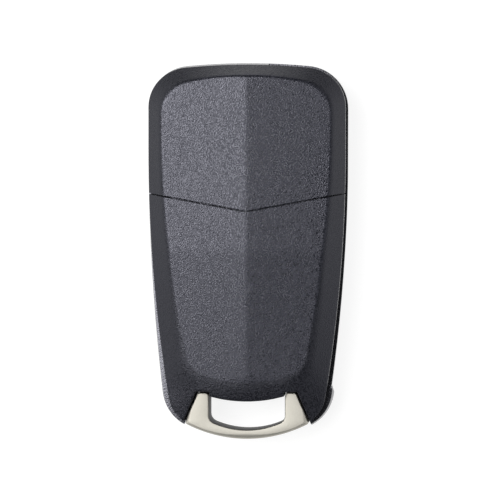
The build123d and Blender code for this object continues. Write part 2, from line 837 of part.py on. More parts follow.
board_top = chevron_y - board_top_drop
board_bottom = low_y + board_end_rise
post_ys = (board_top - post_inset, board_bottom + post_inset)
post_spots = [(board_left_x(y) + post_inset, y) for y in post_ys]
screw_xs = (screw_inset_left - half_width, slot_side_x(chevron_y) - screw_inset_right)
screw_spots = [(x, chevron_y + chevron_rise * abs(x) / half_width - screw_chevron_drop) for x in screw_xs]
chip_y = board_bottom + chip_margin + chip_length / 2
crystal_x = board_right_x(board_bottom) - chip_margin - crystal_width / 2
coil_x = crystal_x - crystal_width / 2 - chip_spacing - coil_length / 2
chip_x = coil_x - coil_length / 2 - chip_spacing - chip_width / 2
cell_y = chip_y + chip_length / 2 + chip_gap + cell_radius

form = cover_form(0, 0, cover_edge_z) & roof(0)
form -= bail_zone(bail_gap)

nodes = {
    "front_housing": front_housing(),
    "head_cover": head_cover(),
    "battery_cover": battery_cover(),
    "keyring_bail": keyring_bail(),
    "bail_pin_left": bail_pin(-1),
    "bail_pin_right": bail_pin(1),
    "blade_hub": blade_hub(),
    "key_blade": key_blade(),
    "blade_pin": blade_pin(),
    "flip_spring": flip_spring(),
    "release_button": release_button(),
    "release_spring": release_spring(),
    "unlock_button": front_button(1),
    "lock_button": front_button(-1),
    "button_mat": button_mat(),
    "circuit_board": circuit_board(),
    "unlock_switch": push_switch(1),
    "lock_switch": push_switch(-1),
    "battery_cell": battery_cell(),
    "battery_contact": battery_contact(),
    "battery_clips": battery_clips(),
    "control_chip": board_chip(chip_x, chip_y, chip_width, chip_length, chip_height),
    "immobiliser_coil": board_chip(coil_x, chip_y, coil_length, coil_width, coil_height),
    "crystal": board_chip(crystal_x, chip_y, crystal_width, crystal_length, crystal_height),
    "head_cover_screws": head_cover_screws(),
}

os.makedirs("parts", exist_ok=True)
for name, shape in nodes.items():
    export_step(shape, f"parts/{name}.step")
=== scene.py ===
import logging
import math
from collections.abc import Callable
from dataclasses import dataclass, field, replace
from enum import Enum
from typing import Any

import bmesh
import bpy
import numpy as np
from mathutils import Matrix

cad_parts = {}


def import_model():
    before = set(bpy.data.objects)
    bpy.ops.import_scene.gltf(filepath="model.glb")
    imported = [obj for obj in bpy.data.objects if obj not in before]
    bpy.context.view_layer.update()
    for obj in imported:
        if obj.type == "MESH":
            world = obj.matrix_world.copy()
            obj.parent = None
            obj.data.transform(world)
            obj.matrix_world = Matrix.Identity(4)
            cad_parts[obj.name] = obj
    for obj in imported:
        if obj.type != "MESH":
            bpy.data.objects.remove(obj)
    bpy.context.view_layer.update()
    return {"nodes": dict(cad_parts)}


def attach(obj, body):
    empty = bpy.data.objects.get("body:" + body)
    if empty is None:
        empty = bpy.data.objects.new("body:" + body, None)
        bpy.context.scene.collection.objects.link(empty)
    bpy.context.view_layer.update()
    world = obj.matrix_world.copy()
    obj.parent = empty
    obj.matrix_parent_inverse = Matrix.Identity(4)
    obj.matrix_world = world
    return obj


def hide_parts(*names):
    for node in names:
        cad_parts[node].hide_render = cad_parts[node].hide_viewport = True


# Looks of a folding car key with remote control, seen from the back. +X is the side of the folded
# blade, +Y the head end and +Z out of the back. Sizes here are in millimetres, and meshes in metres.

LOG = logging.getLogger("folding_key")

Array = np.ndarray
Piece = bpy.types.Object
Pair = tuple[float, float]
Triple = tuple[float, float, float]

MM = 0.001
PIVOT = (11.6, 24.0)
CELL_PLACE = (-3.4, -8.7)
BOARD_TOP = 7.2
# Signs of x and y in the four quarters, counter-clockwise
QUARTERS = ((1, 1), (-1, 1), (-1, -1), (1, -1))
# Distances within which points are joined, in grids and in copies of CAD nodes
GRID_JOIN, COPY_JOIN = 0.0005, 0.002
# Turn in degrees below which two faces of a copy are one
FLAT_ANGLE = 0.6
# Upright part of a normal: least of a level face, most of an upright one and of the slot's faces
LEVEL, UPRIGHT, SLOT_STEEP = 0.9, 0.3, 0.6
# Least share of an outer face's normal that points away from the middle
FACES_OUT = 0.5
# Sine of the least turn between two edges of a plan that makes a corner
LEAST_BEND = 0.15
# Least divisors, for a point on the axis and for two edges in line
LEAST_LENGTH, LEAST_SPREAD = 1e-9, 1e-6
# A distance from the middle at which every point is outside the key
BEYOND = 60.0
# Stretches of the grain's values that colour and gloss run over
TINT_SPAN, GLOSS_SPAN = (0.35, 0.65), (0.3, 0.7)


def hex_to_linear(colour: str) -> tuple[float, float, float, float]:
    """Turns an sRGB hex colour into linear red, green, blue and alpha.

    Args:
        colour: six hex digits, with or without a leading hash mark.

    Returns:
        The linear colour, with an alpha of 1.
    """
    digits = colour.lstrip("#")
    channels = [int(digits[start:start + 2], 16) / 255 for start in (0, 2, 4)]
    linear = [c / 12.92 if c <= 0.04045 else ((c + 0.055) / 1.055) ** 2.4 for c in channels]
    return linear[0], linear[1], linear[2], 1.0


def add_node(tree: bpy.types.NodeTree, kind: str, settings: dict[str, Any] | None = None,
             inputs: dict[str, Any] | None = None) -> bpy.types.Node:
    """Adds a shader node, with its settings, and its input values or links.

    Args:
        tree: node tree that gets the node.
        kind: Blender's class name for the node.
        settings: attributes of the node to set.
        inputs: for each input socket's name, a value or the output socket to link to it.

    Returns:
        The new node.
    """
    node = tree.nodes.new(kind)
    for name, value in (settings or {}).items():
        setattr(node, name, value)
    for name, value in (inputs or {}).items():
        socket = node.inputs[int(name)] if name.isdigit() else node.inputs[name]
        if isinstance(value, bpy.types.NodeSocket):
            tree.links.new(value, socket)
        else:
            socket.default_value = value
    return node


def linked(name: str, data: bpy.types.ID) -> Piece:
    """New object with the given mesh, lamp or camera, linked to the scene."""
    piece = bpy.data.objects.new(name, data)
    bpy.context.scene.collection.objects.link(piece)
    return piece


class Metalness(Enum):
    """Whether a finish is a metal, as the shader takes it."""

    METAL = 1.0
    DIELECTRIC = 0.0


class Grain(Enum):
    """What the fine structure of a surface looks like."""

    WAVY = "ShaderNodeTexNoise"
    CRATERS = "ShaderNodeTexVoronoi"


@dataclass(frozen=True)
class Finish:
    """A moulded, cast or drawn surface: a base colour with fine grain in its colour, gloss and relief.

    The sizes of the grain and of the broad mottle are in millimetres, relief is the depth of the
    grain in millimetres, and stretch makes the grain longer along an axis.
    """

    name: str
    colour: str
    grain_colour: str
    roughness: float
    roughness_spread: float
    metal: Metalness
    grain: float
    relief: float
    specular: float = 0.5
    mottle: float = 6.0
    mottle_share: float = 0.3
    stretch: Triple = (1.0, 1.0, 1.0)
    sheen_colour: str = "#ffffff"
    pattern: Grain = Grain.WAVY

    def material(self) -> bpy.types.Material:
        """Builds the material once, and finds it again after that.

        Returns:
            The Blender material of this finish.
        """
        found = bpy.data.materials.get(self.name)
        if found:
            return found
        material = bpy.data.materials.new(self.name)
        material.use_nodes = True
        tree = material.node_tree
        shader = tree.nodes["Principled BSDF"]
        place = add_node(tree, "ShaderNodeTexCoord")
        mapping = add_node(tree, "ShaderNodeMapping", inputs={
            "Vector": place.outputs["Object"], "Scale": tuple(1 / s for s in self.stretch)})
        grain = add_node(tree, self.pattern.value, inputs={
            "Vector": mapping.outputs["Vector"], "Scale": 1 / (self.grain * MM)})
        craters = self.pattern is Grain.CRATERS
        speck = grain.outputs["Color"] if craters else grain.outputs["Fac"]
        height = grain.outputs["Distance"] if craters else grain.outputs["Fac"]
        mottle = add_node(tree, "ShaderNodeTexNoise", inputs={
            "Vector": mapping.outputs["Vector"], "Scale": 1 / (self.mottle * MM), "Detail": 4.0})
        share = add_node(tree, "ShaderNodeMix", {"data_type": "FLOAT"}, {
            "0": self.mottle_share, "2": speck, "3": mottle.outputs["Fac"]})
        tint = add_node(tree, "ShaderNodeValToRGB", inputs={"Fac": share.outputs[0]})
        for stop, position, colour in zip(tint.color_ramp.elements, TINT_SPAN,
                                          (self.colour, self.grain_colour)):
            stop.position = position
            stop.color = hex_to_linear(colour)
        gloss = add_node(tree, "ShaderNodeMapRange", inputs={
            "Value": share.outputs[0], "From Min": GLOSS_SPAN[0], "From Max": GLOSS_SPAN[1],
            "To Min": self.roughness - self.roughness_spread,
            "To Max": self.roughness + self.roughness_spread})
        bump = add_node(tree, "ShaderNodeBump", inputs={
            "Height": height, "Distance": self.relief * MM, "Strength": 1.0})
        tree.links.new(tint.outputs["Color"], shader.inputs["Base Color"])
        tree.links.new(gloss.outputs["Result"], shader.inputs["Roughness"])
        tree.links.new(bump.outputs["Normal"], shader.inputs["Normal"])
        shader.inputs["Metallic"].default_value = self.metal.value
        if self.metal is Metalness.DIELECTRIC:
            shader.inputs["Specular IOR Level"].default_value = self.specular
            shader.inputs["Specular Tint"].default_value = hex_to_linear(self.sheen_colour)
        return material

    def dress(self, piece: Piece) -> None:
        """Makes this the first material of a piece.

        Args:
            piece: the piece.
        """
        if piece.data.materials:
            piece.data.materials[0] = self.material()
        else:
            piece.data.materials.append(self.material())


# Spark-eroded moulding tool: ABS with a fine matt grain that breaks up a broad, soft shine. The
# real grain, of about 0.05 to 0.1 mm, is too fine to show and is drawn coarser, at 0.2 mm.
SHELL_ABS = Finish("spark_textured_black_abs", "#14151b", "#1f2027", 0.3, 0.17,
                   Metalness.DIELECTRIC, 0.2, 0.03, specular=0.5, pattern=Grain.CRATERS, mottle=9.0,
                   mottle_share=0.15, sheen_colour="#f0f0ff")
# The front housing comes from a finer tool and takes more shine along its rim. Its grain is drawn
# coarser than it is, at 0.25 mm, for the same reason.
HOUSING_ABS = Finish("fine_textured_black_abs", "#15161b", "#1d1e24", 0.25, 0.06,
                     Metalness.DIELECTRIC, 0.25, 0.02, specular=0.9, pattern=Grain.CRATERS, mottle=9.0,
                     mottle_share=0.15, sheen_colour="#f4f4ff")
# The same plastic on the steep flanks, with the same grain, drawn at 0.22 mm, made darker and less shiny
# than the shell: painted shade, standing in for the dark surroundings that the flanks reflect
FLANK_SHADE_ABS = Finish("flank_black_abs_painted_shade", "#111217", "#1a1b20", 0.34, 0.15,
                   Metalness.DIELECTRIC, 0.22, 0.045, specular=0.4, pattern=Grain.CRATERS, mottle=7.0,
                   mottle_share=0.2, sheen_colour="#f0f0ff")
# Zinc casting, satin nickel plated: warm, bright and blurred, with faint waves of the casting
BAIL_NICKEL = Finish("satin_nickel_on_zinc", "#b1aea5", "#bab7ae", 0.6, 0.03,
                     Metalness.METAL, 0.25, 0.002, mottle=4.0, mottle_share=0.5)
# The same casting inside the slot, drawn dark grey and dull: painted shade of the slot's inner walls and
# of the dark surroundings they reflect
SLOT_SHADE_ZINC = Finish("slot_zinc_painted_shade", "#4b4a48", "#565552", 0.6, 0.05,
                   Metalness.METAL, 0.3, 0.006, mottle=2.0, mottle_share=0.5)
# Moulded soft elastomer: black, dull and nearly even
BUTTON_ELASTOMER = Finish("moulded_black_elastomer", "#1c1c1e", "#232325", 0.62, 0.05,
                          Metalness.DIELECTRIC, 0.2, 0.004, specular=0.4)
# ABS with a satin tool finish: smoother and shinier than the shell
RELEASE_ABS = Finish("satin_black_abs", "#1b1b1d", "#202023", 0.3, 0.04,
                     Metalness.DIELECTRIC, 0.3, 0.001)
# Zinc alloy as it leaves the die: mid grey, slightly mottled
HUB_ZINC = Finish("die_cast_zinc", "#8e8f92", "#9c9da0", 0.42, 0.08,
                  Metalness.METAL, 0.5, 0.004, mottle=3.0, mottle_share=0.6)
# Nickel silver, milled along its length: fine bright lines one way
BLADE_NICKEL_SILVER = Finish("milled_nickel_silver", "#b9b7b0", "#cac8c1", 0.27, 0.07,
                             Metalness.METAL, 0.12, 0.0012, stretch=(1.0, 30.0, 1.0))
# Hard-drawn spring wire: bright, with faint die lines
SPRING_WIRE = Finish("drawn_spring_wire", "#9b9b9c", "#adadae", 0.28, 0.05,
                     Metalness.METAL, 0.1, 0.001, mottle=1.0)
# Ground pins: plain bright steel
PIN_STEEL = Finish("ground_pin_steel", "#9a9a9c", "#a6a6a8", 0.25, 0.04,
                   Metalness.METAL, 0.08, 0.0006, mottle=0.8)
# Black oxide on steel: dark, oily sheen
SCREW_OXIDE = Finish("black_oxide_steel", "#2b2b2e", "#38383c", 0.34, 0.06,
                     Metalness.METAL, 0.15, 0.001, mottle=0.6)
# Silicone rubber of the keypad mat: milky grey
MAT_SILICONE = Finish("moulded_grey_silicone", "#77787a", "#808183", 0.55, 0.04,
                      Metalness.DIELECTRIC, 0.4, 0.003)
# Glass-epoxy board under green solder resist
BOARD_RESIST = Finish("green_solder_resist", "#0d3d22", "#134a2b", 0.3, 0.05,
                      Metalness.DIELECTRIC, 0.35, 0.002, mottle=2.5, mottle_share=0.4)
# Stamped stainless cover of a push switch
SWITCH_STEEL = Finish("stamped_switch_steel", "#a4a5a7", "#b2b3b5", 0.32, 0.05,
                      Metalness.METAL, 0.1, 0.0008, mottle=0.9)
# Transfer-moulded epoxy of a chip: flat and near black
CHIP_EPOXY = Finish("moulded_chip_epoxy", "#191919", "#222222", 0.66, 0.05,
                    Metalness.DIELECTRIC, 0.12, 0.003)
# Sintered ferrite: dull dark brown
FERRITE = Finish("sintered_ferrite", "#3a322c", "#473d35", 0.6, 0.06,
                 Metalness.DIELECTRIC, 0.15, 0.004)
# Drawn steel can of the crystal
CAN_STEEL = Finish("drawn_can_steel", "#b3b3b4", "#c0c0c1", 0.3, 0.05,
                   Metalness.METAL, 0.1, 0.0006, mottle=0.7)
# Nickel-plated can of the coin cell, lightly rubbed
CELL_NICKEL = Finish("nickel_plated_cell", "#b8b8b7", "#c7c7c5", 0.3, 0.07,
                     Metalness.METAL, 0.14, 0.0008, mottle=2.2, mottle_share=0.5)
# Phosphor bronze sheet with a gold flash
CONTACT_BRONZE = Finish("gold_flashed_bronze", "#c7a25c", "#d3b170", 0.3, 0.05,
                        Metalness.METAL, 0.1, 0.0008, mottle=0.8)
# Nylon sealing ring between the cell's can and cap: dull and near black
SEAL_NYLON = Finish("moulded_black_nylon", "#28282a", "#313133", 0.5, 0.05,
                    Metalness.DIELECTRIC, 0.2, 0.002)
# Enamelled copper winding wire: warm brown red, glossy
COIL_WIRE = Finish("enamelled_copper_wire", "#8c4c2b", "#a45f39", 0.28, 0.05,
                   Metalness.METAL, 0.12, 0.0006, mottle=0.7)
# Tin that has flowed over a pad: bright, with soft unevenness
REFLOWED_TIN = Finish("reflowed_tin", "#b2b4b6", "#c3c5c7", 0.34, 0.09,
                      Metalness.METAL, 0.3, 0.003, mottle=1.0, mottle_share=0.5)
# Solder resist where it lies over copper: a paler green
TRACK_RESIST = Finish("green_resist_over_copper", "#1b5c36", "#226c41", 0.28, 0.05,
                      Metalness.DIELECTRIC, 0.35, 0.002)
# Pad-printed ink on the buttons' raised signs: pale grey and matt
PRINT_INK = Finish("pad_printed_grey_ink", "#a6a7a9", "#aeafb1", 0.5, 0.04,
                   Metalness.DIELECTRIC, 0.15, 0.001)


def mesh_from_grid(name: str, grid: Array, wrap_rows: bool = False, wrap_columns: bool = False,
                   sharp: float = 35.0) -> Piece:
    """Makes a piece from a grid of points, joins what coincides and turns its faces outwards.

    Args:
        name: name of the piece.
        grid: points in millimetres, as rows by columns by 3.
        wrap_rows: whether the last row joins the first.
        wrap_columns: whether the last column joins the first.
        sharp: angle in degrees above which an edge shows as sharp.

    Returns:
        The new object, linked to the scene.
    """
    rows, columns = grid.shape[:2]
    index = np.arange(rows * columns).reshape(rows, columns)
    if wrap_rows:
        index = np.vstack((index, index[:1]))
    if wrap_columns:
        index = np.hstack((index, index[:, :1]))
    quads = np.stack((index[:-1, :-1], index[1:, :-1], index[1:, 1:], index[:-1, 1:]), axis=-1)
    mesh = bpy.data.meshes.new(name)
    mesh.from_pydata((grid.reshape(-1, 3) * MM).tolist(), [], quads.reshape(-1, 4).tolist())
    form = bmesh.new()
    form.from_mesh(mesh)
    bmesh.ops.remove_doubles(form, verts=form.verts, dist=GRID_JOIN * MM)
    bmesh.ops.dissolve_degenerate(form, dist=GRID_JOIN * MM, edges=form.edges)
    bmesh.ops.recalc_face_normals(form, faces=form.faces)
    form.to_mesh(mesh)
    form.free()
    soften(mesh, sharp)
    return linked(name, mesh)


def soften(mesh: bpy.types.Mesh, sharp: float) -> None:
    """Shades a mesh smooth, apart from its edges above an angle in degrees."""
    mesh.shade_smooth()
    mesh.set_sharp_from_angle(angle=math.radians(sharp))


def seat(piece: Piece, finish: Finish, body: str, material_slot: str,
         *nodes: str) -> None:
    """Dresses a piece, lets it ride on a body and lets it stand for CAD nodes.

    Args:
        piece: the finished piece.
        finish: its finish.
        body: name of the body that carries it.
        material_slot: the record's material slot; not used.
        nodes: CAD nodes that it stands for.
    """
    finish.dress(piece)
    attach(piece, body)
    if nodes:
        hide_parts(*nodes)
    LOG.info("%s: %d faces on %s", piece.name, len(piece.data.polygons), body)


def face_values(piece: Piece, value: str) -> Array:
    """Reads a value of each face of a piece.

    Args:
        piece: the piece.
        value: "center", which is in metres, or "normal".

    Returns:
        Three rows, of the x, y and z parts.
    """
    values = np.empty(len(piece.data.polygons) * 3)
    piece.data.polygons.foreach_get(value, values)
    return values.reshape(-1, 3).T


def two_finishes(piece: Piece, plain: Finish, other: Finish, chosen: Array) -> None:
    """Gives a piece one finish, and its chosen faces another.

    Args:
        piece: the piece.
        plain: finish of the piece.
        other: finish of the chosen faces.
        chosen: whether each face is chosen.
    """
    piece.data.materials.append(plain.material())
    piece.data.materials.append(other.material())
    piece.data.polygons.foreach_set("material_index", chosen.astype(np.int32))


def soft_min(a: Array, b: Array, blend: float) -> Array:
    """Lesser of two heights, with the crease between them rounded over a height of blend."""
    reach = np.maximum(blend - np.abs(a - b), 0.0)
    return np.minimum(a, b) - reach**2 / (4 * blend)


def soft_abs(x: Array, blend: float) -> Array:
    """Distance from zero, with its point rounded by a parabola within blend of zero."""
    return np.where(np.abs(x) < blend, x**2 / (2 * blend) + blend / 2, np.abs(x))


def full_turn(count: int) -> Array:
    """Angles at even steps round a full turn, without the last one, which is the first again."""
    return np.linspace(0.0, 2 * math.pi, count, endpoint=False)


def quarter_turn(count: int) -> Array:
    """Angles at even steps over a quarter turn, both ends included."""
    return np.linspace(0.0, math.pi / 2, count)


def lifted(plan: Array, z: float | Array) -> Array:
    """Points of the plan at one height, or each at its own."""
    return np.column_stack((plan, np.broadcast_to(z, len(plan))))


def round_edge(outside: float, low: float, edge: float, steps: int = 5) -> list[Pair]:
    """Quarter circle of a profile, from its level face out to its upright one, as places and heights."""
    return [(outside - edge * (1 - math.sin(a)), low + edge * (1 - math.cos(a)))
            for a in quarter_turn(steps)]


def last_inside(inside: Callable[[Array], Array], low: Array, high: Array, rounds: int = 40) -> Array:
    """Finds where ways leave a region, by halving the stretch between inside and outside.

    Args:
        inside: whether the place on each way lies inside.
        low: a place on each way that lies inside.
        high: a place on each way that lies outside.
        rounds: how often the stretch is halved.

    Returns:
        The last place inside on each way.
    """
    for _ in range(rounds):
        middle = (low + high) / 2
        kept = inside(middle)
        low, high = np.where(kept, middle, low), np.where(kept, high, middle)
    return low


def run_lengths(points: Array) -> Array:
    """Distance along a line from its start to each of its points."""
    return np.concatenate(([0.0], np.cumsum(np.linalg.norm(np.diff(points, axis=0), axis=1))))


def points_at(points: Array, places: Array) -> Array:
    """Points of a line at given distances along it."""
    run = run_lengths(points)
    return np.stack([np.interp(places, run, points[:, axis]) for axis in range(points.shape[1])], axis=1)


def resample(points: Array, step: float) -> Array:
    """Points at even distances of about a step along a line, both ends included."""
    length = run_lengths(points)[-1]
    return points_at(points, np.linspace(0.0, length, max(int(round(length / step)), 1) + 1))


def left_normals(points: Array) -> Array:
    """Unit normals to the left of a line at its points, from the differences of its neighbours."""
    along = np.gradient(points, axis=0)
    along /= np.linalg.norm(along, axis=1, keepdims=True)
    return np.stack((-along[:, 1], along[:, 0]), axis=1)


def cornered_depth(side: Array, end: Array, dot: Array, radius: float) -> Array:
    """Depth inside two edges whose corner is rounded.

    In the corner it is the radius less the distance from the arc's centre, which follows from the
    gaps to both edges and the product of their normals.

    Args:
        side: depth of the points inside one edge.
        end: depth of the points inside the other edge.
        dot: product of both edges' normals at the points.
        radius: radius of the corner.

    Returns:
        Depths, negative outside.
    """
    side_gap, end_gap = radius - side, radius - end
    square = side_gap**2 + end_gap**2 - 2 * side_gap * end_gap * dot
    spread = np.maximum(1 - dot**2, LEAST_SPREAD)
    arc = radius - np.sqrt(np.maximum(square / spread, 0.0))
    in_corner = (side_gap > dot * end_gap) & (end_gap > dot * side_gap)
    return np.where(in_corner, arc, np.minimum(side, end))


@dataclass(frozen=True)
class Outline:
    """Closed plan outline of the key: a crowned top, sides that sweep inwards and a crowned bottom.

    It is read as a field: how far inside the outline each point of the plan lies. half is the half
    width down to bend_y, from where the sides curve inwards with the radius sweep, and corner_y is
    where the bottom's arc would meet them.
    """

    half: float
    top: float
    bend_y: float
    sweep: float
    corner_y: float
    bottom: float
    top_radius: float
    bottom_radius: float
    crown_radius: float = 130.0

    def inset(self, distance: float) -> "Outline":
        """The same outline, moved inwards by a distance."""
        return replace(self, half=self.half - distance, top=self.top - distance,
                       corner_y=self.corner_y + distance / 2, bottom=self.bottom + distance,
                       top_radius=self.top_radius - distance,
                       bottom_radius=self.bottom_radius - distance)

    def depth(self, x: Array, y: Array) -> Array:
        """How far inside the outline the points lie.

        The distance to a side is the half width at that height, less the distance from the middle,
        over the length of its gradient. The crowned ends are arcs, and the corners are rounded.

        Args:
            x: places across the key.
            y: places along the key.

        Returns:
            Distances, negative outside.
        """
        drop = np.maximum(self.bend_y - y, 0.0)
        lean = drop / self.sweep
        scale = np.hypot(1.0, lean)
        side = (self.half - drop**2 / (2 * self.sweep) - np.abs(x)) / scale
        normal_x, normal_y = -np.sign(x) / scale, lean / scale
        low_x = self.half - (self.bend_y - self.corner_y) ** 2 / (2 * self.sweep)
        rise = self.corner_y - self.bottom
        foot_radius = (low_x**2 + rise**2) / (2 * rise)
        above = np.maximum(y - (self.top - self.crown_radius), 0.0)
        below = np.minimum(y - (self.bottom + foot_radius), 0.0)
        depths = []
        for radius, level, corner in ((self.crown_radius, above, self.top_radius),
                                      (foot_radius, below, self.bottom_radius)):
            away = np.maximum(np.hypot(x, level), LEAST_LENGTH)
            dot = -(normal_x * x + normal_y * level) / away
            depths.append(cornered_depth(side, radius - away, dot, corner))
        return np.minimum(*depths)


@dataclass(frozen=True)
class BackForm:
    """Form of the key's back: two slopes from a soft ridge down to a plateau's edge, a band round it
    and a nearly upright skirt.

    The ridge's slopes, in degrees, and its drops towards the head and the tail are pairs, head
    first.
    """

    half_width: float = 20.05
    half_length: float = 37.5
    height: float = 16.0
    ledge: float = 0.4
    skirt_low: float = 9.1
    skirt_top: float = 12.2
    skirt_draft: float = 0.06
    band_height: float = 2.9
    least_band: float = 0.2
    crease: float = 0.5
    wall: float = 1.4
    crown_wall: float = 1.0
    ridge_slopes: Pair = (3.4, 2.0)
    ridge_drops: Pair = (0.15, 1.5)
    ridge_blend: float = 0.35

    @property
    def seam(self) -> Outline:
        """Outline of the covers' lower edge."""
        return Outline(half=self.half_width - self.ledge, top=self.half_length - self.ledge,
                       bend_y=self.half_length - 17.5, sweep=300.0,
                       corner_y=4.1 - self.half_length, bottom=0.2 - self.half_length,
                       top_radius=8.6 - self.ledge, bottom_radius=10.0)

    @property
    def plateau(self) -> Outline:
        """Outline of the plateau, where the band's planes would meet the roof."""
        return Outline(half=self.half_width - 3.15, top=self.half_length - 2.2,
                       bend_y=self.half_length - 13.5, sweep=200.0,
                       corner_y=13.9 - self.half_length, bottom=11.3 - self.half_length,
                       top_radius=7.5, bottom_radius=6.0, crown_radius=45.0)

    def roof(self, x: Array, y: Array) -> Array:
        """Height of the two slopes: the ridge's height at that place along the key, less the
        distance from the middle times the slope there, rounded over the ridge.

        Args:
            x: places across the key.
            y: places along the key.

        Returns:
            Heights in millimetres.
        """
        span = self.half_length
        drop = np.where(y > 0, self.ridge_drops[0] * y, -self.ridge_drops[1] * y) / span
        share = np.clip(-y / span, 0.0, 1.0)
        head, tail = (math.tan(math.radians(slope)) for slope in self.ridge_slopes)
        slope = head * (1 - share) + tail * share
        return self.height - drop - slope * soft_abs(x, self.ridge_blend)

    def surface(self, x: Array, y: Array, wall: float = 0.0, crown: float = 0.0) -> Array:
        """Height of the back above the button face.

        The band rises evenly from the skirt's top edge to the plateau's outline: its share of the
        way is the depth inside the one over the difference of both depths. Where band and roof
        meet, the crease is rounded.

        Args:
            x: places across the key.
            y: places along the key.
            wall: how far the surface is moved inwards from the flanks.
            crown: how far it is lowered.

        Returns:
            Heights in millimetres.
        """
        outer = self.seam.depth(x, y) - self.skirt_draft - wall
        inner = self.plateau.depth(x, y) - wall
        share = outer / np.maximum(outer - inner, self.least_band)
        band = self.skirt_top + share * self.band_height - crown
        return soft_min(self.roof(x, y) - crown, band, self.crease)


@dataclass(frozen=True)
class Chevron:
    """V-shaped joint between the covers, as the line's place along the key."""

    apex: float = 7.85
    rise: float = 3.7
    half_width: float = 20.05
    blend: float = 0.5

    def line(self, x: Array, shift: float = 0.0) -> Array:
        """Place of the joint along the key, moved by a shift."""
        return self.apex + shift + self.rise / self.half_width * soft_abs(x, self.blend)


class Edge(Enum):
    """How a cover ends along one edge of its plan."""

    OUTLINE = 0
    NOTCH = 1
    CHEVRON = 2


@dataclass(frozen=True)
class EdgeSection:
    """Section through the end of a cover, as offsets inwards from the plan edge.

    top is where the rounding of the upper edge starts, corner is the offset of the sharp edge that
    it rounds, drop is how far down it reaches, foot is the offset of the lower edge, and inner are
    the offsets of the inner rows.
    """

    top: float
    corner: float
    drop: float
    foot: float
    inner: Pair


SECTIONS = {
    Edge.OUTLINE: EdgeSection(top=0.05, corner=0.02, drop=0.05, foot=0.12, inner=(1.4, 1.62)),
    Edge.NOTCH: EdgeSection(top=0.3, corner=0.0, drop=0.3, foot=0.12, inner=(1.4, 1.45)),
    Edge.CHEVRON: EdgeSection(top=0.1, corner=0.0, drop=0.1, foot=0.05, inner=(0.3, 0.62)),
}


def section_values(value: str, kinds: Array) -> Array:
    """One value of the sections, by its field's name, for an array of the edges' kinds."""
    return np.array([getattr(SECTIONS[kind], value) for kind in Edge])[kinds]


@dataclass(frozen=True)
class PlanEdge:
    """One edge of a cover's plan: how it ends, its line, and the line inside from which its points
    are reached straight."""

    kind: Edge
    line: Array
    core: Array

    def mirrored(self) -> "PlanEdge":
        """The same edge on the other side of the key."""
        return PlanEdge(self.kind, self.line[::-1] * (-1, 1), self.core[::-1] * (-1, 1))


@dataclass(frozen=True)
class Rim:
    """Points round a cover's plan.

    before and after are the inward normals on both sides of each point, kinds are the kinds of the
    edges there, and core is the point inside from which each is reached straight.
    """

    points: Array
    before: Array
    after: Array
    kinds: tuple[Array, Array]
    core: Array

    def moved(self, first: Array, second: Array) -> Array:
        """Moves the points inwards by one offset from the edge before and one from the edge after.

        The move is the vector whose products with the two normals are the two offsets. Where the
        normals nearly agree, it is the first offset along their mean.

        Args:
            first: offsets from the edge before each point.
            second: offsets from the edge after each point.

        Returns:
            The moved points.
        """
        before, after = self.before, self.after
        cross = before[:, 0] * after[:, 1] - before[:, 1] * after[:, 0]
        bent = np.abs(cross) > LEAST_BEND
        safe = np.where(bent, cross, 1.0)
        mitre = np.stack((first * after[:, 1] - second * before[:, 1],
                          second * before[:, 0] - first * after[:, 0]), axis=1) / safe[:, None]
        mean = before + after
        mean /= np.linalg.norm(mean, axis=1, keepdims=True)
        return self.points + np.where(bent[:, None], mitre, mean * first[:, None])


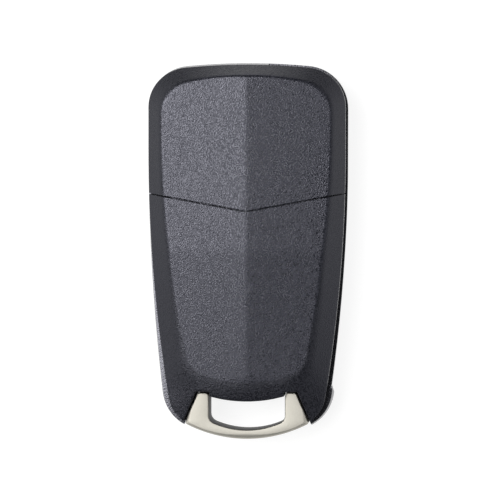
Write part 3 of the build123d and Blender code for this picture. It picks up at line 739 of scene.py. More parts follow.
@dataclass
class CoverShell:
    """One back cover as a closed shell round a plan with its edges run counter-clockwise.

    Each point of the edge has a row of points: from the plan's centre over the outer surface,
    round the upper edge, down the flank, in under the wall, and back to the centre under the roof.

    step is the distance of the edge's points, and clear is how far they stay from a corner that
    turns inwards. crease_rows are distances of rows from the plateau's outline, and margins are
    how far from the edge the outline and the last of those rows stay.
    """

    form: BackForm
    centre: Pair
    edges: list[PlanEdge]
    step: float = 0.24
    clear: float = 1.85
    crease_rows: tuple[float, ...] = (-1.6, -1.1, -0.8, -0.55, -0.35, -0.18,
                                      0.0, 0.18, 0.35, 0.55, 0.8, 1.1)
    margins: Pair = (0.9, 0.2)
    plain_rows: int = 8
    edge_rows: int = 6

    def rim(self) -> Rim:
        """Finds the points round the plan, thinned out where a corner turns inwards.

        Returns:
            The rim.
        """
        lines = [resample(edge.line, self.step) for edge in self.edges]
        normals = [left_normals(line) for line in lines]
        parts = []
        for i, (edge, line) in enumerate(zip(self.edges, lines)):
            earlier, later = normals[i - 1][-1], normals[(i + 1) % len(lines)][0]
            keep = np.ones(len(line), dtype=bool)
            for end, first, second in ((0, earlier, normals[i][0]), (-1, normals[i][-1], later)):
                if first[0] * second[1] - first[1] * second[0] > LEAST_BEND:
                    keep &= np.linalg.norm(line - line[end], axis=1) > self.clear
            keep[0], keep[-1] = True, False
            after = normals[i][keep]
            kinds = np.full(len(after), edge.kind.value)
            kinds_before = kinds.copy()
            kinds_before[0] = self.edges[i - 1].kind.value
            share = np.linspace(0.0, 1.0, len(line))[keep]
            core_share = np.linspace(0.0, 1.0, len(edge.core))
            core = np.stack([np.interp(share, core_share, edge.core[:, axis]) for axis in (0, 1)], axis=1)
            parts.append((line[keep], np.vstack((earlier, after[1:])), after, kinds_before, kinds, core))
        points, before, after, first, second, core = (np.concatenate(part) for part in zip(*parts))
        return Rim(points, before, after, (first, second), core)

    def build(self, name: str) -> Piece:
        """Builds the shell and dresses its plateau, and its flanks in a darker copy of the plastic that
        paints their shade.

        Args:
            name: name of the piece.

        Returns:
            The piece, closed and smooth.
        """
        rim = self.rim()
        surface, wall, crown = self.form.surface, self.form.wall, self.form.crown_wall
        top, corner, foot, inner, drops = (
            [section_values(value, kinds) for kinds in rim.kinds]
            for value in ("top", "corner", "foot", "inner", "drop"))
        drop = np.maximum(*drops)
        start, ridge = rim.moved(*top), rim.moved(*corner)
        start_z, corner_z = surface(*start.T), surface(*ridge.T)
        rows = []
        for share in np.linspace(0.0, 1.0, self.edge_rows + 1)[1:]:
            lead, middle, last = (1 - share) ** 2, 2 * share * (1 - share), share**2
            place = rim.moved(*(lead * t + (1 - lead) * c for t, c in zip(top, corner)))
            z = lead * start_z + middle * corner_z + last * (corner_z - drop)
            rows.append(lifted(place, z))
        inner_rows = [rim.moved(inner[0][:, i], inner[1][:, i]) for i in (0, 1)]
        roof_in = [surface(*place.T, wall, crown) for place in inner_rows]
        thin = (rim.kinds[0] == Edge.CHEVRON.value) & (rim.kinds[1] == Edge.CHEVRON.value)
        edge_z = np.where(thin, roof_in[0], self.form.skirt_low)
        for rise, foot_share in ((0.5, 0.0), (0.05, 0.0), (0.0, 1.0)):
            place = rim.moved(*(rise * c + foot_share * f for c, f in zip(corner, foot)))
            rows.append(lifted(place, edge_z + rise * (corner_z - drop - edge_z)))
        rows += map(lifted, inner_rows, (edge_z, roof_in[1]))
        over = [lifted(place, surface(*place.T)) for place in self.spokes(start, rim.core)]
        under = [lifted(place, surface(*place.T, wall, crown))
                 for place in self.spokes(inner_rows[1], rim.core)[-2::-1]]
        piece = mesh_from_grid(name, np.stack([*over, *rows, *under]), wrap_columns=True, sharp=32.0)
        x, y, _ = face_values(piece, "center") / MM
        # Faces outside the plateau's outline get the darker flank plastic: painted shade.
        two_finishes(piece, SHELL_ABS, FLANK_SHADE_ABS, self.form.plateau.depth(x, y) < 0)
        return piece

    def spokes(self, ends: Array, core: Array) -> list[Array]:
        """Rows of plan points on the way from the centre past the core out to the ends.

        Rows crowd where the way crosses the plateau's outline, so that the crease runs along them.

        Args:
            ends: last point of each way.
            core: point of each way from which it runs straight to its end.

        Returns:
            The rows, from the centre outwards.
        """
        centre = np.array(self.centre)
        way = ends - core
        length = np.linalg.norm(way, axis=1)
        leave = last_inside(lambda share: self.form.plateau.depth(*(core + way * share[:, None]).T) > 0,
                            np.zeros(len(ends)), np.ones(len(ends)), rounds=30)
        crossing = np.minimum(leave * length, length - self.margins[0])
        first = crossing + self.crease_rows[0]
        last = np.minimum(crossing + self.crease_rows[-1], length - self.margins[1])
        spread = (last - crossing) / self.crease_rows[-1]
        shares = np.linspace(0.0, 1.0, self.plain_rows + 1)
        distances = [first * share for share in shares[:-1]]
        distances += [crossing + row * np.where(row > 0, spread, 1.0) for row in self.crease_rows]
        distances += [last + (length - last) * share for share in shares[1:]]
        return ([centre + (core - centre) * share for share in shares[:-1]]
                + [core + way * (distance / length)[:, None] for distance in distances])


def outline_points(outline: Outline, start: float, end: float, count: int = 1600) -> Array:
    """Points of an outline between two angles seen from the origin.

    Args:
        outline: the outline.
        start: first angle in radians.
        end: last angle in radians.
        count: number of points.

    Returns:
        Points of the plan, in order.
    """
    angle = np.linspace(start, end, count)
    way = np.stack((np.cos(angle), np.sin(angle)))
    reach = last_inside(lambda away: outline.depth(*(away * way)) > 0, np.zeros(count),
                        np.full(count, BEYOND))
    return (reach * way).T


def bar(name: str, ring: Array, sharp: float = 35.0) -> Piece:
    """Bar from its sections along a way, each a ring of points, with its ends closed on their middles."""
    ends = [np.repeat(ring[end].mean(axis=0)[None, None], ring.shape[1], axis=1) for end in (0, -1)]
    return mesh_from_grid(name, np.concatenate((ends[0], ring, ends[1])), wrap_columns=True, sharp=sharp)


def strip(name: str, line: Array, side: Array, low: float, high: float) -> Piece:
    """Flat bar along a plan path between two heights, with its flanks at plus and minus side."""
    corners = ((1, low), (1, high), (-1, high), (-1, low))
    return bar(name, np.stack([lifted(line + side * sign, z) for sign, z in corners], axis=1))


def ribbon(name: str, line: Array, width: float, low: float, high: float) -> Piece:
    """Flat strip of even width along a plan path, whose corners are mitred: the flank's place is the
    sum of both normals, times 2 over its square.

    Args:
        name: name of the piece.
        line: points of the path.
        width: width of the strip.
        low: height of the lower face.
        high: height of the upper face.

    Returns:
        The piece.
    """
    way = np.diff(line, axis=0)
    way /= np.linalg.norm(way, axis=1, keepdims=True)
    normal = np.stack((-way[:, 1], way[:, 0]), axis=1)
    joined = np.vstack((normal[:1], normal[:-1] + normal[1:], normal[-1:]))
    joined *= 2 / np.sum(joined * joined, axis=1, keepdims=True)
    joined[[0, -1]] = normal[[0, -1]]
    return strip(name, line, joined * width / 2, low, high)


def tube(name: str, path: Array, radius: float, sides: int = 12) -> Piece:
    """Round bar along a path, closed at both ends.

    At each point the section's circle stands across the path's direction, turned so that one
    radius lies as near to level as it can.

    Args:
        name: name of the piece.
        path: points of the bar's middle line, in millimetres.
        radius: radius of the bar.
        sides: number of points round the bar.

    Returns:
        The piece.
    """
    along = np.gradient(path, axis=0)
    along /= np.linalg.norm(along, axis=1, keepdims=True)
    across = np.cross(along, (0.0, 0.0, 1.0))
    across /= np.linalg.norm(across, axis=1, keepdims=True)
    up = np.cross(across, along)
    turn = full_turn(sides)[None, :, None]
    circle = np.cos(turn) * across[:, None] + np.sin(turn) * up[:, None]
    return bar(name, path[:, None] + radius * circle, sharp=50.0)


def revolve(name: str, profile: list[Pair], centre: Pair, sides: int = 96) -> Piece:
    """Turned piece: a profile of radius and height, carried round an upright axis.

    Args:
        name: name of the piece.
        profile: radius and height of each point, from one end of the axis to the other.
        centre: place of the axis in plan.
        sides: number of points round it.

    Returns:
        The piece.
    """
    turn = full_turn(sides)
    radius, height = np.array(profile).T[:, :, None]
    grid = np.stack((centre[0] + radius * np.cos(turn), centre[1] + radius * np.sin(turn),
                     np.repeat(height, sides, axis=1)), axis=-1)
    return mesh_from_grid(name, grid, wrap_columns=True, sharp=30.0)


def prism(name: str, outline: Array, heights: Pair, edge: float = 0.12) -> Piece:
    """Upright block over a plan outline, with its upper and lower edges rounded.

    Over a quarter turn of a, the outline grows up to its full size by edge·sin a while the height
    moves by edge·(1 − cos a). The ends close on the outline's middle.

    Args:
        name: name of the piece.
        outline: closed plan outline, counter-clockwise.
        heights: height of the lower and of the upper face.
        edge: radius of the rounded edges.

    Returns:
        The piece.
    """
    low, high = heights
    around = np.vstack((outline[-1:], outline, outline[:1]))
    run = np.diff(around, axis=0)
    normals = np.stack((-run[:, 1], run[:, 0]), axis=1)
    normals /= np.linalg.norm(normals, axis=1, keepdims=True)
    inward = normals[:-1] + normals[1:]
    inward *= 2 / np.sum(inward * inward, axis=1, keepdims=True)
    sections = round_edge(0.0, low, edge)
    sections += [(grow, high + low - z) for grow, z in sections[::-1]]
    return bar(name, np.stack([lifted(outline - inward * grow, z) for grow, z in sections]), sharp=50.0)


def rounded_box(centre: Pair, size: Pair, radius: float, turn: float = 0.0, steps: int = 8) -> Array:
    """Plan outline of a rectangle with rounded corners, turned about its centre.

    Args:
        centre: place of its middle.
        size: width and length.
        radius: radius of the corners.
        turn: angle in radians by which it is turned.
        steps: number of points on each corner.

    Returns:
        Points of the outline, counter-clockwise.
    """
    half = np.array(size) / 2 - radius
    arcs = []
    for number, (sx, sy) in enumerate(QUARTERS):
        angle = quarter_turn(steps) + number * math.pi / 2
        arcs.append(np.stack((sx * half[0] + radius * np.cos(angle),
                              sy * half[1] + radius * np.sin(angle)), axis=1))
    spin = np.array(((math.cos(turn), -math.sin(turn)), (math.sin(turn), math.cos(turn))))
    return np.vstack(arcs) @ spin.T + np.array(centre)


def round_corner(line: Array, index: int, radius: float, steps: int = 24) -> Array:
    """Rounds one corner of a line with a parabola.

    Args:
        line: points of the line.
        index: number of the corner's point.
        radius: distance of the parabola's ends from the corner.
        steps: number of points on the parabola.

    Returns:
        Points of the rounded line.
    """
    corner = line[index]
    before = line[:index][np.linalg.norm(line[:index] - corner, axis=1) > radius]
    beyond = line[index + 1] - corner
    after = corner + beyond / np.linalg.norm(beyond) * radius
    share = np.linspace(0.0, 1.0, steps)[:, None]
    bow = (1 - share) ** 2 * before[-1] + 2 * share * (1 - share) * corner + share**2 * after
    return np.vstack((before[:-1], bow, line[index + 1:]))


def merged(name: str, pieces: list[Piece]) -> Piece:
    """Makes one piece of several small ones, which keeps their faces as they are.

    Args:
        name: name of the new piece.
        pieces: the small pieces, which are removed.

    Returns:
        The new piece.
    """
    form = bmesh.new()
    for piece in pieces:
        form.from_mesh(piece.data)
        bpy.data.objects.remove(piece)
    mesh = bpy.data.meshes.new(name)
    form.to_mesh(mesh)
    form.free()
    soften(mesh, 40.0)
    return linked(name, mesh)


def outer_rim(form: bmesh.types.BMesh, low: float) -> list[bmesh.types.BMEdge]:
    """Finds the edges where a level face meets an upright one that faces away from the middle.

    Args:
        form: the mesh.
        low: height in millimetres below which edges are left out.

    Returns:
        The edges.
    """
    rim = []
    for edge in form.edges:
        if len(edge.link_faces) != 2 or min(v.co.z for v in edge.verts) < low * MM:
            continue
        level, upright = sorted(edge.link_faces, key=lambda face: -face.normal.z)
        middle = (edge.verts[0].co + edge.verts[1].co) / 2
        outwards = upright.normal.x * middle.x + upright.normal.y * middle.y
        faces_out = outwards > math.hypot(middle.x, middle.y) * FACES_OUT
        if level.normal.z > LEVEL and abs(upright.normal.z) < UPRIGHT and faces_out:
            rim.append(edge)
    return rim


@dataclass(frozen=True)
class CadCopy:
    """Copy of a CAD node with its edges broken, as its making leaves them.

    Its loose triangles are merged and its flat faces joined, and a Bevel modifier rounds the edges
    that turn by more than limit by the radius edge. rim is a larger radius for the outer upper
    edges above rim_low, or 0 for none.
    """

    node: str
    suffix: str
    finish: Finish
    body: str
    material_slot: str
    edge: float
    rim: float = 0.0
    rim_low: float = 5.0
    limit: float = 32.0

    def build(self, nodes: dict[str, Piece]) -> None:
        """Builds the copy and seats it.

        Args:
            nodes: the frame's CAD nodes by name.
        """
        name = f"{self.node}_{self.suffix}"
        mesh = nodes[self.node].data.copy()
        mesh.name = name
        form = bmesh.new()
        form.from_mesh(mesh)
        bmesh.ops.remove_doubles(form, verts=form.verts, dist=COPY_JOIN * MM)
        bmesh.ops.dissolve_degenerate(form, dist=COPY_JOIN * MM, edges=form.edges)
        bmesh.ops.dissolve_limit(form, angle_limit=math.radians(FLAT_ANGLE), verts=form.verts,
                                 edges=form.edges)
        if self.rim:
            bmesh.ops.bevel(form, geom=outer_rim(form, self.rim_low), offset=self.rim * MM,
                            offset_type="OFFSET", segments=4, profile=0.5, affect="EDGES",
                            clamp_overlap=True)
        form.to_mesh(mesh)
        form.free()
        soften(mesh, 30.0)
        piece = linked(name, mesh)
        bevel = piece.modifiers.new("broken_edges", "BEVEL")
        bevel.width = self.edge * MM
        bevel.segments = 2
        bevel.limit_method = "ANGLE"
        bevel.angle_limit = math.radians(self.limit)
        bevel.use_clamp_overlap = True
        bevel.harden_normals = True
        seat(piece, self.finish, self.body, self.material_slot, self.node)


HOUSING = CadCopy("front_housing", "moulding", HOUSING_ABS, "shell", "shell_black", 0.12, rim=0.35)
HIDDEN_COPIES = (
    CadCopy("blade_hub", "casting", HUB_ZINC, "blade", "hub_zinc", 0.15),
    CadCopy("blade_pin", "rolled", PIN_STEEL, "blade", "pin_steel", 0.06),
    CadCopy("bail_pin_left", "ground", PIN_STEEL, "shell", "pin_steel", 0.08),
    CadCopy("bail_pin_right", "ground", PIN_STEEL, "shell", "pin_steel", 0.08),
    CadCopy("button_mat", "moulding", MAT_SILICONE, "shell", "mat_grey", 0.2),
    CadCopy("circuit_board", "laminate", BOARD_RESIST, "shell", "board_green", 0.04),
    CadCopy("battery_contact", "sheet", CONTACT_BRONZE, "shell", "contact_gold", 0.04),
    CadCopy("battery_clips", "sheet", CONTACT_BRONZE, "shell", "contact_gold", 0.05),
    CadCopy("control_chip", "body", CHIP_EPOXY, "shell", "chip_black", 0.07),
)


@dataclass(frozen=True)
class Beam:
    """Bar moulded along the joint, under the head cover.

    reach is how far it goes to either side, and near and far are its flanks' distances from the
    cover's edge, towards the head. It rises past the cover's inner face by rise. Its lower face
    stands at the height foot, or hangs a depth below the inner face.
    """

    name: str
    reach: float
    near: float
    far: float
    rise: float
    foot: float | None = 9.0
    depth: float = 1.0


# The rib closes the joint behind the shelf, so that no light comes through it
BEAMS = (
    Beam("head_cover_bulkhead", reach=18.2, near=0.1, far=1.2, rise=0.3),
    Beam("head_cover_shelf", reach=17.95, near=-1.93, far=0.7, rise=-0.12, foot=None),
    Beam("head_cover_joint_rib", reach=19.35, near=-0.22, far=0.3, rise=-0.12),
)


@dataclass
class BackCovers:
    """The two covers of the back, which meet at a V-shaped joint, and what is moulded inside them.

    The notch for the key-ring loop has legs from leg_inner_x to leg_outer_x, and ends on an arc.
    The cores are lines inside each plan from which its edges are reached straight, and the lip
    turns are how far, in radians, each lip stops short of the joint or goes past the side.
    """

    form: BackForm = field(default_factory=BackForm)
    chevron: Chevron = field(default_factory=Chevron)
    gap: float = 0.26
    leg_inner_x: float = 7.4
    leg_outer_x: float = 10.1
    leg_top_y: float = -28.05
    leg_lean: float = 0.4333
    end_y: float = -29.95
    end_radius: float = 27.88
    head_centre: Pair = (0.0, 21.0)
    head_core_share: float = 0.3
    battery_centre: Pair = (0.0, -7.0)
    battery_core: tuple[Pair, ...] = ((6.5, -16.5), (8.0, -16.2), (9.3, -15.8), (11.0, -14.0),
                                       (12.0, 1.0))
    bite: float = 0.35
    broken: float = 0.15
    lip_inset: float = 1.9
    lip_half: float = 0.4
    lip_heights: Pair = (7.9, 9.9)
    head_lip_turn: float = 0.09
    battery_lip_turns: Pair = (0.97, 0.42)
    tab_ends: Pair = (-15.6, 6.16)
    tab_near: float = 4.46
    tab_shift: float = 1.2
    tab_heights: Pair = (8.3, 9.6)
    journal_radii: Triple = (4.3, 5.95, 7.0)
    journal_heights: Triple = (10.0, 12.9, 13.7)
    ring_radii: Pair = (6.0, 7.0)
    ring_low: float = 11.55

    def build(self) -> None:
        """Builds and seats both covers and what is inside them."""
        for pieces, body, node in ((self.head(), "shell", "head_cover"),
                                   (self.battery(), "back", "battery_cover")):
            cover, *details = pieces
            seat(cover, SHELL_ABS, body, "shell_black", node)
            for piece in details:
                seat(piece, SHELL_ABS, body, "shell_black")

    def corner(self, shift: float) -> Pair:
        """Right end of the joint's line, where it meets the outline."""
        x = last_inside(lambda x: self.form.seam.depth(x, self.chevron.line(x, shift)) > 0,
                        np.array(0.0), np.array(self.form.half_width))
        return float(x), float(self.chevron.line(x, shift))

    def flank_x(self, y: Array) -> Array:
        """Place across the key of the notch's right flank, which leans outwards."""
        return self.leg_outer_x + self.leg_lean * (self.leg_top_y - y)

    def foot(self) -> Pair:
        """Place where the notch's right flank meets the outline."""
        y = last_inside(lambda y: self.form.seam.depth(self.flank_x(y), y) > 0,
                        np.array(self.leg_top_y), np.array(-self.form.half_length))
        return float(self.flank_x(y)), float(y)

    def joint(self, shift: float, reach: float, count: int = 400) -> Array:
        """Points of the joint's line from the left to the right."""
        x = np.linspace(-reach, reach, count)
        return np.column_stack((x, self.chevron.line(x, shift)))

    def head(self) -> list[Piece]:
        """Builds the head cover with its beams, screw tab, journal and lip.

        Returns:
            The pieces, the cover first.
        """
        x, y = self.corner(self.gap / 2)
        start = math.atan2(y, x)
        over = outline_points(self.form.seam, start, math.pi - start)
        centre = np.array(self.head_centre)
        edges = [PlanEdge(kind, line, centre + self.head_core_share * (line - centre))
                 for kind, line in ((Edge.OUTLINE, over), (Edge.CHEVRON, self.joint(self.gap / 2, x)))]
        lip = outline_points(self.form.seam.inset(self.lip_inset), math.pi / 2,
                             math.pi - start - self.head_lip_turn, 300)
        return [CoverShell(self.form, self.head_centre, edges).build("head_cover_moulding"),
                *(self.beam(beam) for beam in BEAMS), self.screw_tab(), self.journal(),
                self.lip("head_cover_lip", lip)]

    def battery(self) -> list[Piece]:
        """Builds the battery cover with its rib ring over the cell and its lip.

        Returns:
            The pieces, the cover first.
        """
        corner_x, corner_y = self.corner(-self.gap / 2)
        foot_x, foot_y = self.foot()
        side = outline_points(self.form.seam, math.atan2(foot_y, foot_x), math.atan2(corner_y, corner_x))
        line = self.joint(-self.gap / 2, corner_x)[::-1]
        arc_x = np.linspace(-self.leg_inner_x, self.leg_inner_x, 200)
        arc_y = self.end_y + self.end_radius - np.sqrt(self.end_radius**2 - arc_x**2)
        tips = np.array(((self.leg_inner_x, arc_y[-1]), (self.leg_inner_x, self.leg_top_y),
                         (self.leg_outer_x, self.leg_top_y), (foot_x, foot_y)))
        core = np.array(self.battery_core)
        (low_x, low_y), (high_x, high_y) = core[0], core[-1]
        notch = [PlanEdge(Edge.NOTCH, tips[i:i + 2], core[i:i + 2]) for i in range(3)]
        right = PlanEdge(Edge.OUTLINE, side, core[3:])
        left = [edge.mirrored() for edge in (right, *notch[::-1])]
        joint = PlanEdge(Edge.CHEVRON, line, np.column_stack(
            (line[:, 0] * high_x / corner_x, np.full(len(line), high_y))))
        end = PlanEdge(Edge.NOTCH, np.column_stack((arc_x, arc_y)), np.column_stack(
            (arc_x * low_x / self.leg_inner_x, np.full(len(arc_x), low_y))))
        shell = CoverShell(self.form, self.battery_centre, [right, joint, *left, end, *notch])
        past, short = self.battery_lip_turns
        lip = outline_points(self.form.seam.inset(self.lip_inset), math.pi + past, math.pi - short, 300)
        return [shell.build("battery_cover_moulding"), self.cell_ring(),
                self.lip("battery_cover_lip", lip)]

    def inside(self, x: Array, y: Array) -> Array:
        """Height of the covers' inner face."""
        return self.form.surface(x, y, self.form.wall, self.form.crown_wall)

    def beam(self, beam: Beam) -> Piece:
        """Builds one bar along the joint.

        Args:
            beam: its sizes.

        Returns:
            The piece.
        """
        flanks = []
        for offset in (beam.near, beam.far):
            line = self.joint(self.gap / 2 + offset, beam.reach, 220)
            roof = self.inside(*line.T)
            low = roof - beam.depth if beam.foot is None else np.full_like(roof, beam.foot)
            flanks.append((lifted(line, low), lifted(line, roof + beam.rise)))
        (near_low, near_high), (far_low, far_high) = flanks
        return bar(beam.name, np.stack((near_low, far_low, far_high, near_high), axis=1))

    def lip(self, name: str, line: Array) -> Piece:
        """Lip that reaches down inside the housing's wall, along a line in plan."""
        return strip(name, line, left_normals(line) * self.lip_half, *self.lip_heights)

    def screw_tab(self) -> Piece:
        """Flat tab under the joint, which the two screws go through.

        Returns:
            The piece.
        """
        x = np.linspace(*self.tab_ends, 120)
        near = np.column_stack((x, np.full_like(x, self.tab_near)))
        far = np.column_stack((x, self.chevron.line(x, self.tab_shift)))
        return strip("head_cover_screw_tab", (near + far) / 2, (near - far) / 2, *self.tab_heights)

    def hung(self, name: str, centre: Pair, profile: list[tuple[float, float | None]],
             hollow: bool) -> Piece:
        """Turned piece that grows out of the covers' inner face.

        Args:
            name: name of the piece.
            centre: place of its axis in plan.
            profile: radius and height of each point, where None is a height within the cover.
            hollow: whether the profile closes on itself, and not on the axis.

        Returns:
            The piece.
        """
        turn = full_turn(120)
        rows = []
        for radius, z in profile:
            x, y = centre[0] + radius * np.cos(turn), centre[1] + radius * np.sin(turn)
            top = self.inside(x, y) + self.bite
            height = top if z is None else np.minimum(z, top)
            if not radius:
                height = np.full_like(turn, height.mean())
            rows.append(np.stack((x, y, height), axis=1))
        return mesh_from_grid(name, np.stack(rows), wrap_rows=hollow, wrap_columns=True)

    def journal(self) -> Piece:
        """Cup that the hub's boss turns in, with room for the flip spring."""
        recess, bore, outer = self.journal_radii
        low, shoulder, roof = self.journal_heights
        step = self.broken
        return self.hung("head_cover_journal", PIVOT, [
            (0.0, roof), (recess, roof), (recess, shoulder), (bore, shoulder), (bore, low + step),
            (bore + step, low), (outer - step, low), (outer, low + step), (outer, None), (0.0, None),
        ], hollow=False)

    def cell_ring(self) -> Piece:
        """Rib ring that keeps the cell down."""
        (inner, outer), low, step = self.ring_radii, self.ring_low, self.broken
        return self.hung("battery_cover_ring", CELL_PLACE, [
            (outer, None), (outer, low + step), (outer - step, low), (inner + step, low),
            (inner, low + step), (inner, None)], hollow=True)


@dataclass
class KeyringBail:
    """Cast loop for the key ring: two legs up beside the covers and a bar round the bottom.

    inner_edge, leg_edge and bar_edge round its edges, and leg_edge grows into bar_edge over
    blunt_span. row_counts are rows of its mesh along the bar, the corner and the leg, where the
    corner starts by corner_margins before the end of each arc and goes on for corner_run.
    """

    low: float = 1.4
    high: float = 12.6
    inner_x: float = 7.6
    outer_x: float = 9.8
    leg_top: float = -28.4
    shoulder: Pair = (12.4, -34.4)
    shoulder_radius: float = 0.5
    slot_middle_y: float = -31.0
    slot_corner_y: float = -33.9
    slot_low_y: float = -35.7
    slot_radius: float = 1.2
    tip_radius: float = 0.6
    bottom: float = -37.5
    inner_edge: float = 0.28
    leg_edge: float = 0.25
    bar_edge: float = 1.1
    blunt_span: Pair = (-31.5, -34.5)
    arc_points: int = 400
    row_counts: tuple[int, int, int] = (40, 40, 24)
    corner_margins: Pair = (2.1, 2.2)
    corner_run: float = 4.2
    tongue_size: Pair = (2.2, 5.2)
    tongue_rise: float = 1.6
    tongue_corner: float = 0.2
    tongue_heights: Pair = (2.3, 4.5)

    def build(self) -> None:
        """Builds and seats the loop and its two tongues."""
        seat(self.casting(), BAIL_NICKEL, "shell", "bail_silver", "keyring_bail")
        for side, hand in ((-1, "left"), (1, "right")):
            seat(self.tongue(f"keyring_bail_tongue_{hand}", side), BAIL_NICKEL, "shell", "bail_silver")

    def arc(self, half: float, end_y: float, low_y: float) -> Array:
        """Right half of the circle's arc through (-half, end_y), (0, low_y) and (half, end_y).

        Args:
            half: place across the key of its end.
            end_y: place along the key of its end.
            low_y: place along the key of its lowest point.

        Returns:
            Points from the lowest one on.
        """
        rise = end_y - low_y
        radius = (half**2 + rise**2) / (2 * rise)
        x = np.linspace(0.0, half, self.arc_points)
        return np.column_stack((x, low_y + radius - np.sqrt(radius**2 - x**2)))

    def spread(self, line: Array, corner_start: float) -> Array:
        """Points of a line, spread evenly over the bar, the corner from its start on, and the leg."""
        stops = (0.0, corner_start, corner_start + self.corner_run, run_lengths(line)[-1])
        return points_at(line, np.concatenate([
            np.linspace(stops[i], stops[i + 1], count, endpoint=i == 2)
            for i, count in enumerate(self.row_counts)]))

    def lines(self) -> list[Array]:
        """Inner and outer edge of the loop in plan, point for point, from the left leg to the right.

        The inner edge goes down the leg, round the slot's corner and along the bar's inner arc. The
        outer edge goes down to the shoulder and along the outer arc.

        Returns:
            Points of the inner edge and of the outer edge.
        """
        shoulder_x, shoulder_y = self.shoulder
        end = self.leg_top - self.tip_radius
        lean = (shoulder_x - self.outer_x) * self.tip_radius / (self.leg_top - shoulder_y)
        lines = []
        for arc, top_x, radius, margin in (
                (self.arc(self.inner_x, self.slot_corner_y, self.slot_low_y), self.inner_x,
                 self.slot_radius, self.corner_margins[0]),
                (self.arc(shoulder_x, shoulder_y, self.bottom), self.outer_x + lean,
                 self.shoulder_radius, self.corner_margins[1])):
            line = round_corner(np.vstack((arc, (top_x, end))), self.arc_points - 1, radius)
            half = self.spread(line, arc[-1, 0] - margin)
            lines.append(np.vstack((half[::-1] * (-1, 1), half[1:])))
        return lines

    def casting(self) -> Piece:
        """Builds the loop.

        Its section is a rectangle whose corners are quarter circles: small beside the covers, and
        large along the bar's outer edge, where the casting is rounded off for the pocket. The
        radius there grows by 3b² − 2b³ with the share b of the way down.

        Returns:
            The piece.
        """
        inner, outer = self.lines()
        span = np.linalg.norm(outer - inner, axis=1)
        across = (outer - inner) / span[:, None]
        start, end = self.blunt_span
        blunt = np.clip((start - outer[:, 1]) / (start - end), 0.0, 1.0)
        outer_radius = self.leg_edge + (self.bar_edge - self.leg_edge) * blunt**2 * (3 - 2 * blunt)
        turns = quarter_turn(8)
        rows = []
        for line, way, radius, order in (
                (outer, -across, outer_radius, turns),
                (inner, across, np.full_like(span, self.inner_edge), turns[::-1])):
            for turn in order:
                place = line + way * (radius * (1 - math.cos(turn)))[:, None]
                rows.append(np.column_stack((place, self.high - radius * (1 - math.sin(turn)))))
        rows += [row * (1, 1, -1) + (0, 0, self.low + self.high) for row in rows[::-1]]
        ring = np.stack(rows, axis=1)
        grid = np.concatenate((self.tip(ring[0])[::-1], ring, self.tip(ring[-1])))
        piece = mesh_from_grid("keyring_bail_casting", grid, wrap_columns=True, sharp=40.0)
        # The slot's inner walls get painted shade.
        self.paint_slot_shade(piece)
        return piece

    def tip(self, section: Array) -> Array:
        """Sections that close a leg, from its last one.

        Over a quarter turn the section moves on by the tip's radius times the sine and narrows by
        the radius times one less the cosine on both sides, and it closes on its middle.

        Args:
            section: points of the leg's last section.

        Returns:
            The sections, the leg's last one left out.
        """
        middle = section.mean(axis=0)
        half = np.ptp(section[:, 0]) / 2
        rows = []
        for turn in quarter_turn(7)[1:]:
            narrow = 1 - self.tip_radius * (1 - math.cos(turn)) / half
            row = middle + (section - middle) * (narrow, 1.0, 1.0)
            row[:, 1] = section[:, 1] + self.tip_radius * math.sin(turn)
            rows.append(row)
        rows.append(np.tile(rows[-1].mean(axis=0), (len(section), 1)))
        return np.stack(rows)

    def paint_slot_shade(self, piece: Piece) -> None:
        """Gives the upright faces that look towards the slot's middle a darker finish, which paints the
        slot's shade.

        Args:
            piece: the loop.
        """
        x, y, _ = face_values(piece, "center") / MM
        normal_x, normal_y, normal_z = face_values(piece, "normal")
        inwards = normal_x * x + normal_y * (y - self.slot_middle_y) < 0
        slot = inwards & (np.abs(normal_z) < SLOT_STEEP) & (y < self.leg_top - self.tip_radius)
        # Painted shade: the slot's inner walls take the dark grey finish.
        two_finishes(piece, BAIL_NICKEL, SLOT_SHADE_ZINC, slot)

    def tongue(self, name: str, side: int) -> Piece:
        """Tongue of one leg, which a dowel holds in the housing: side 1 is the right one."""
        centre = (side * (self.inner_x + self.outer_x) / 2, self.leg_top + self.tongue_rise)
        return prism(name, rounded_box(centre, self.tongue_size, self.tongue_corner), self.tongue_heights)


@dataclass(frozen=True)
class CoilSpring:
    """Coil of round wire between two heights, with some closed turn at each end."""

    radius: float
    wire: float
    pitch: float
    low: float
    high: float
    closed: float = 0.75

    def path(self) -> Array:
        """Middle line of the wire: the angle grows evenly, and the height with it between the closed
        turns.

        Returns:
            Points of the line.
        """
        rise = self.high - self.low - self.wire
        turns = rise / self.pitch + 2 * self.closed
        angle = np.linspace(0.0, 2 * math.pi * turns, int(48 * turns))
        share = np.clip((angle / (2 * math.pi) - self.closed) * self.pitch / rise, 0.0, 1.0)
        z = self.low + self.wire / 2 + rise * share
        return np.stack((self.radius * np.cos(angle), self.radius * np.sin(angle), z), axis=1)


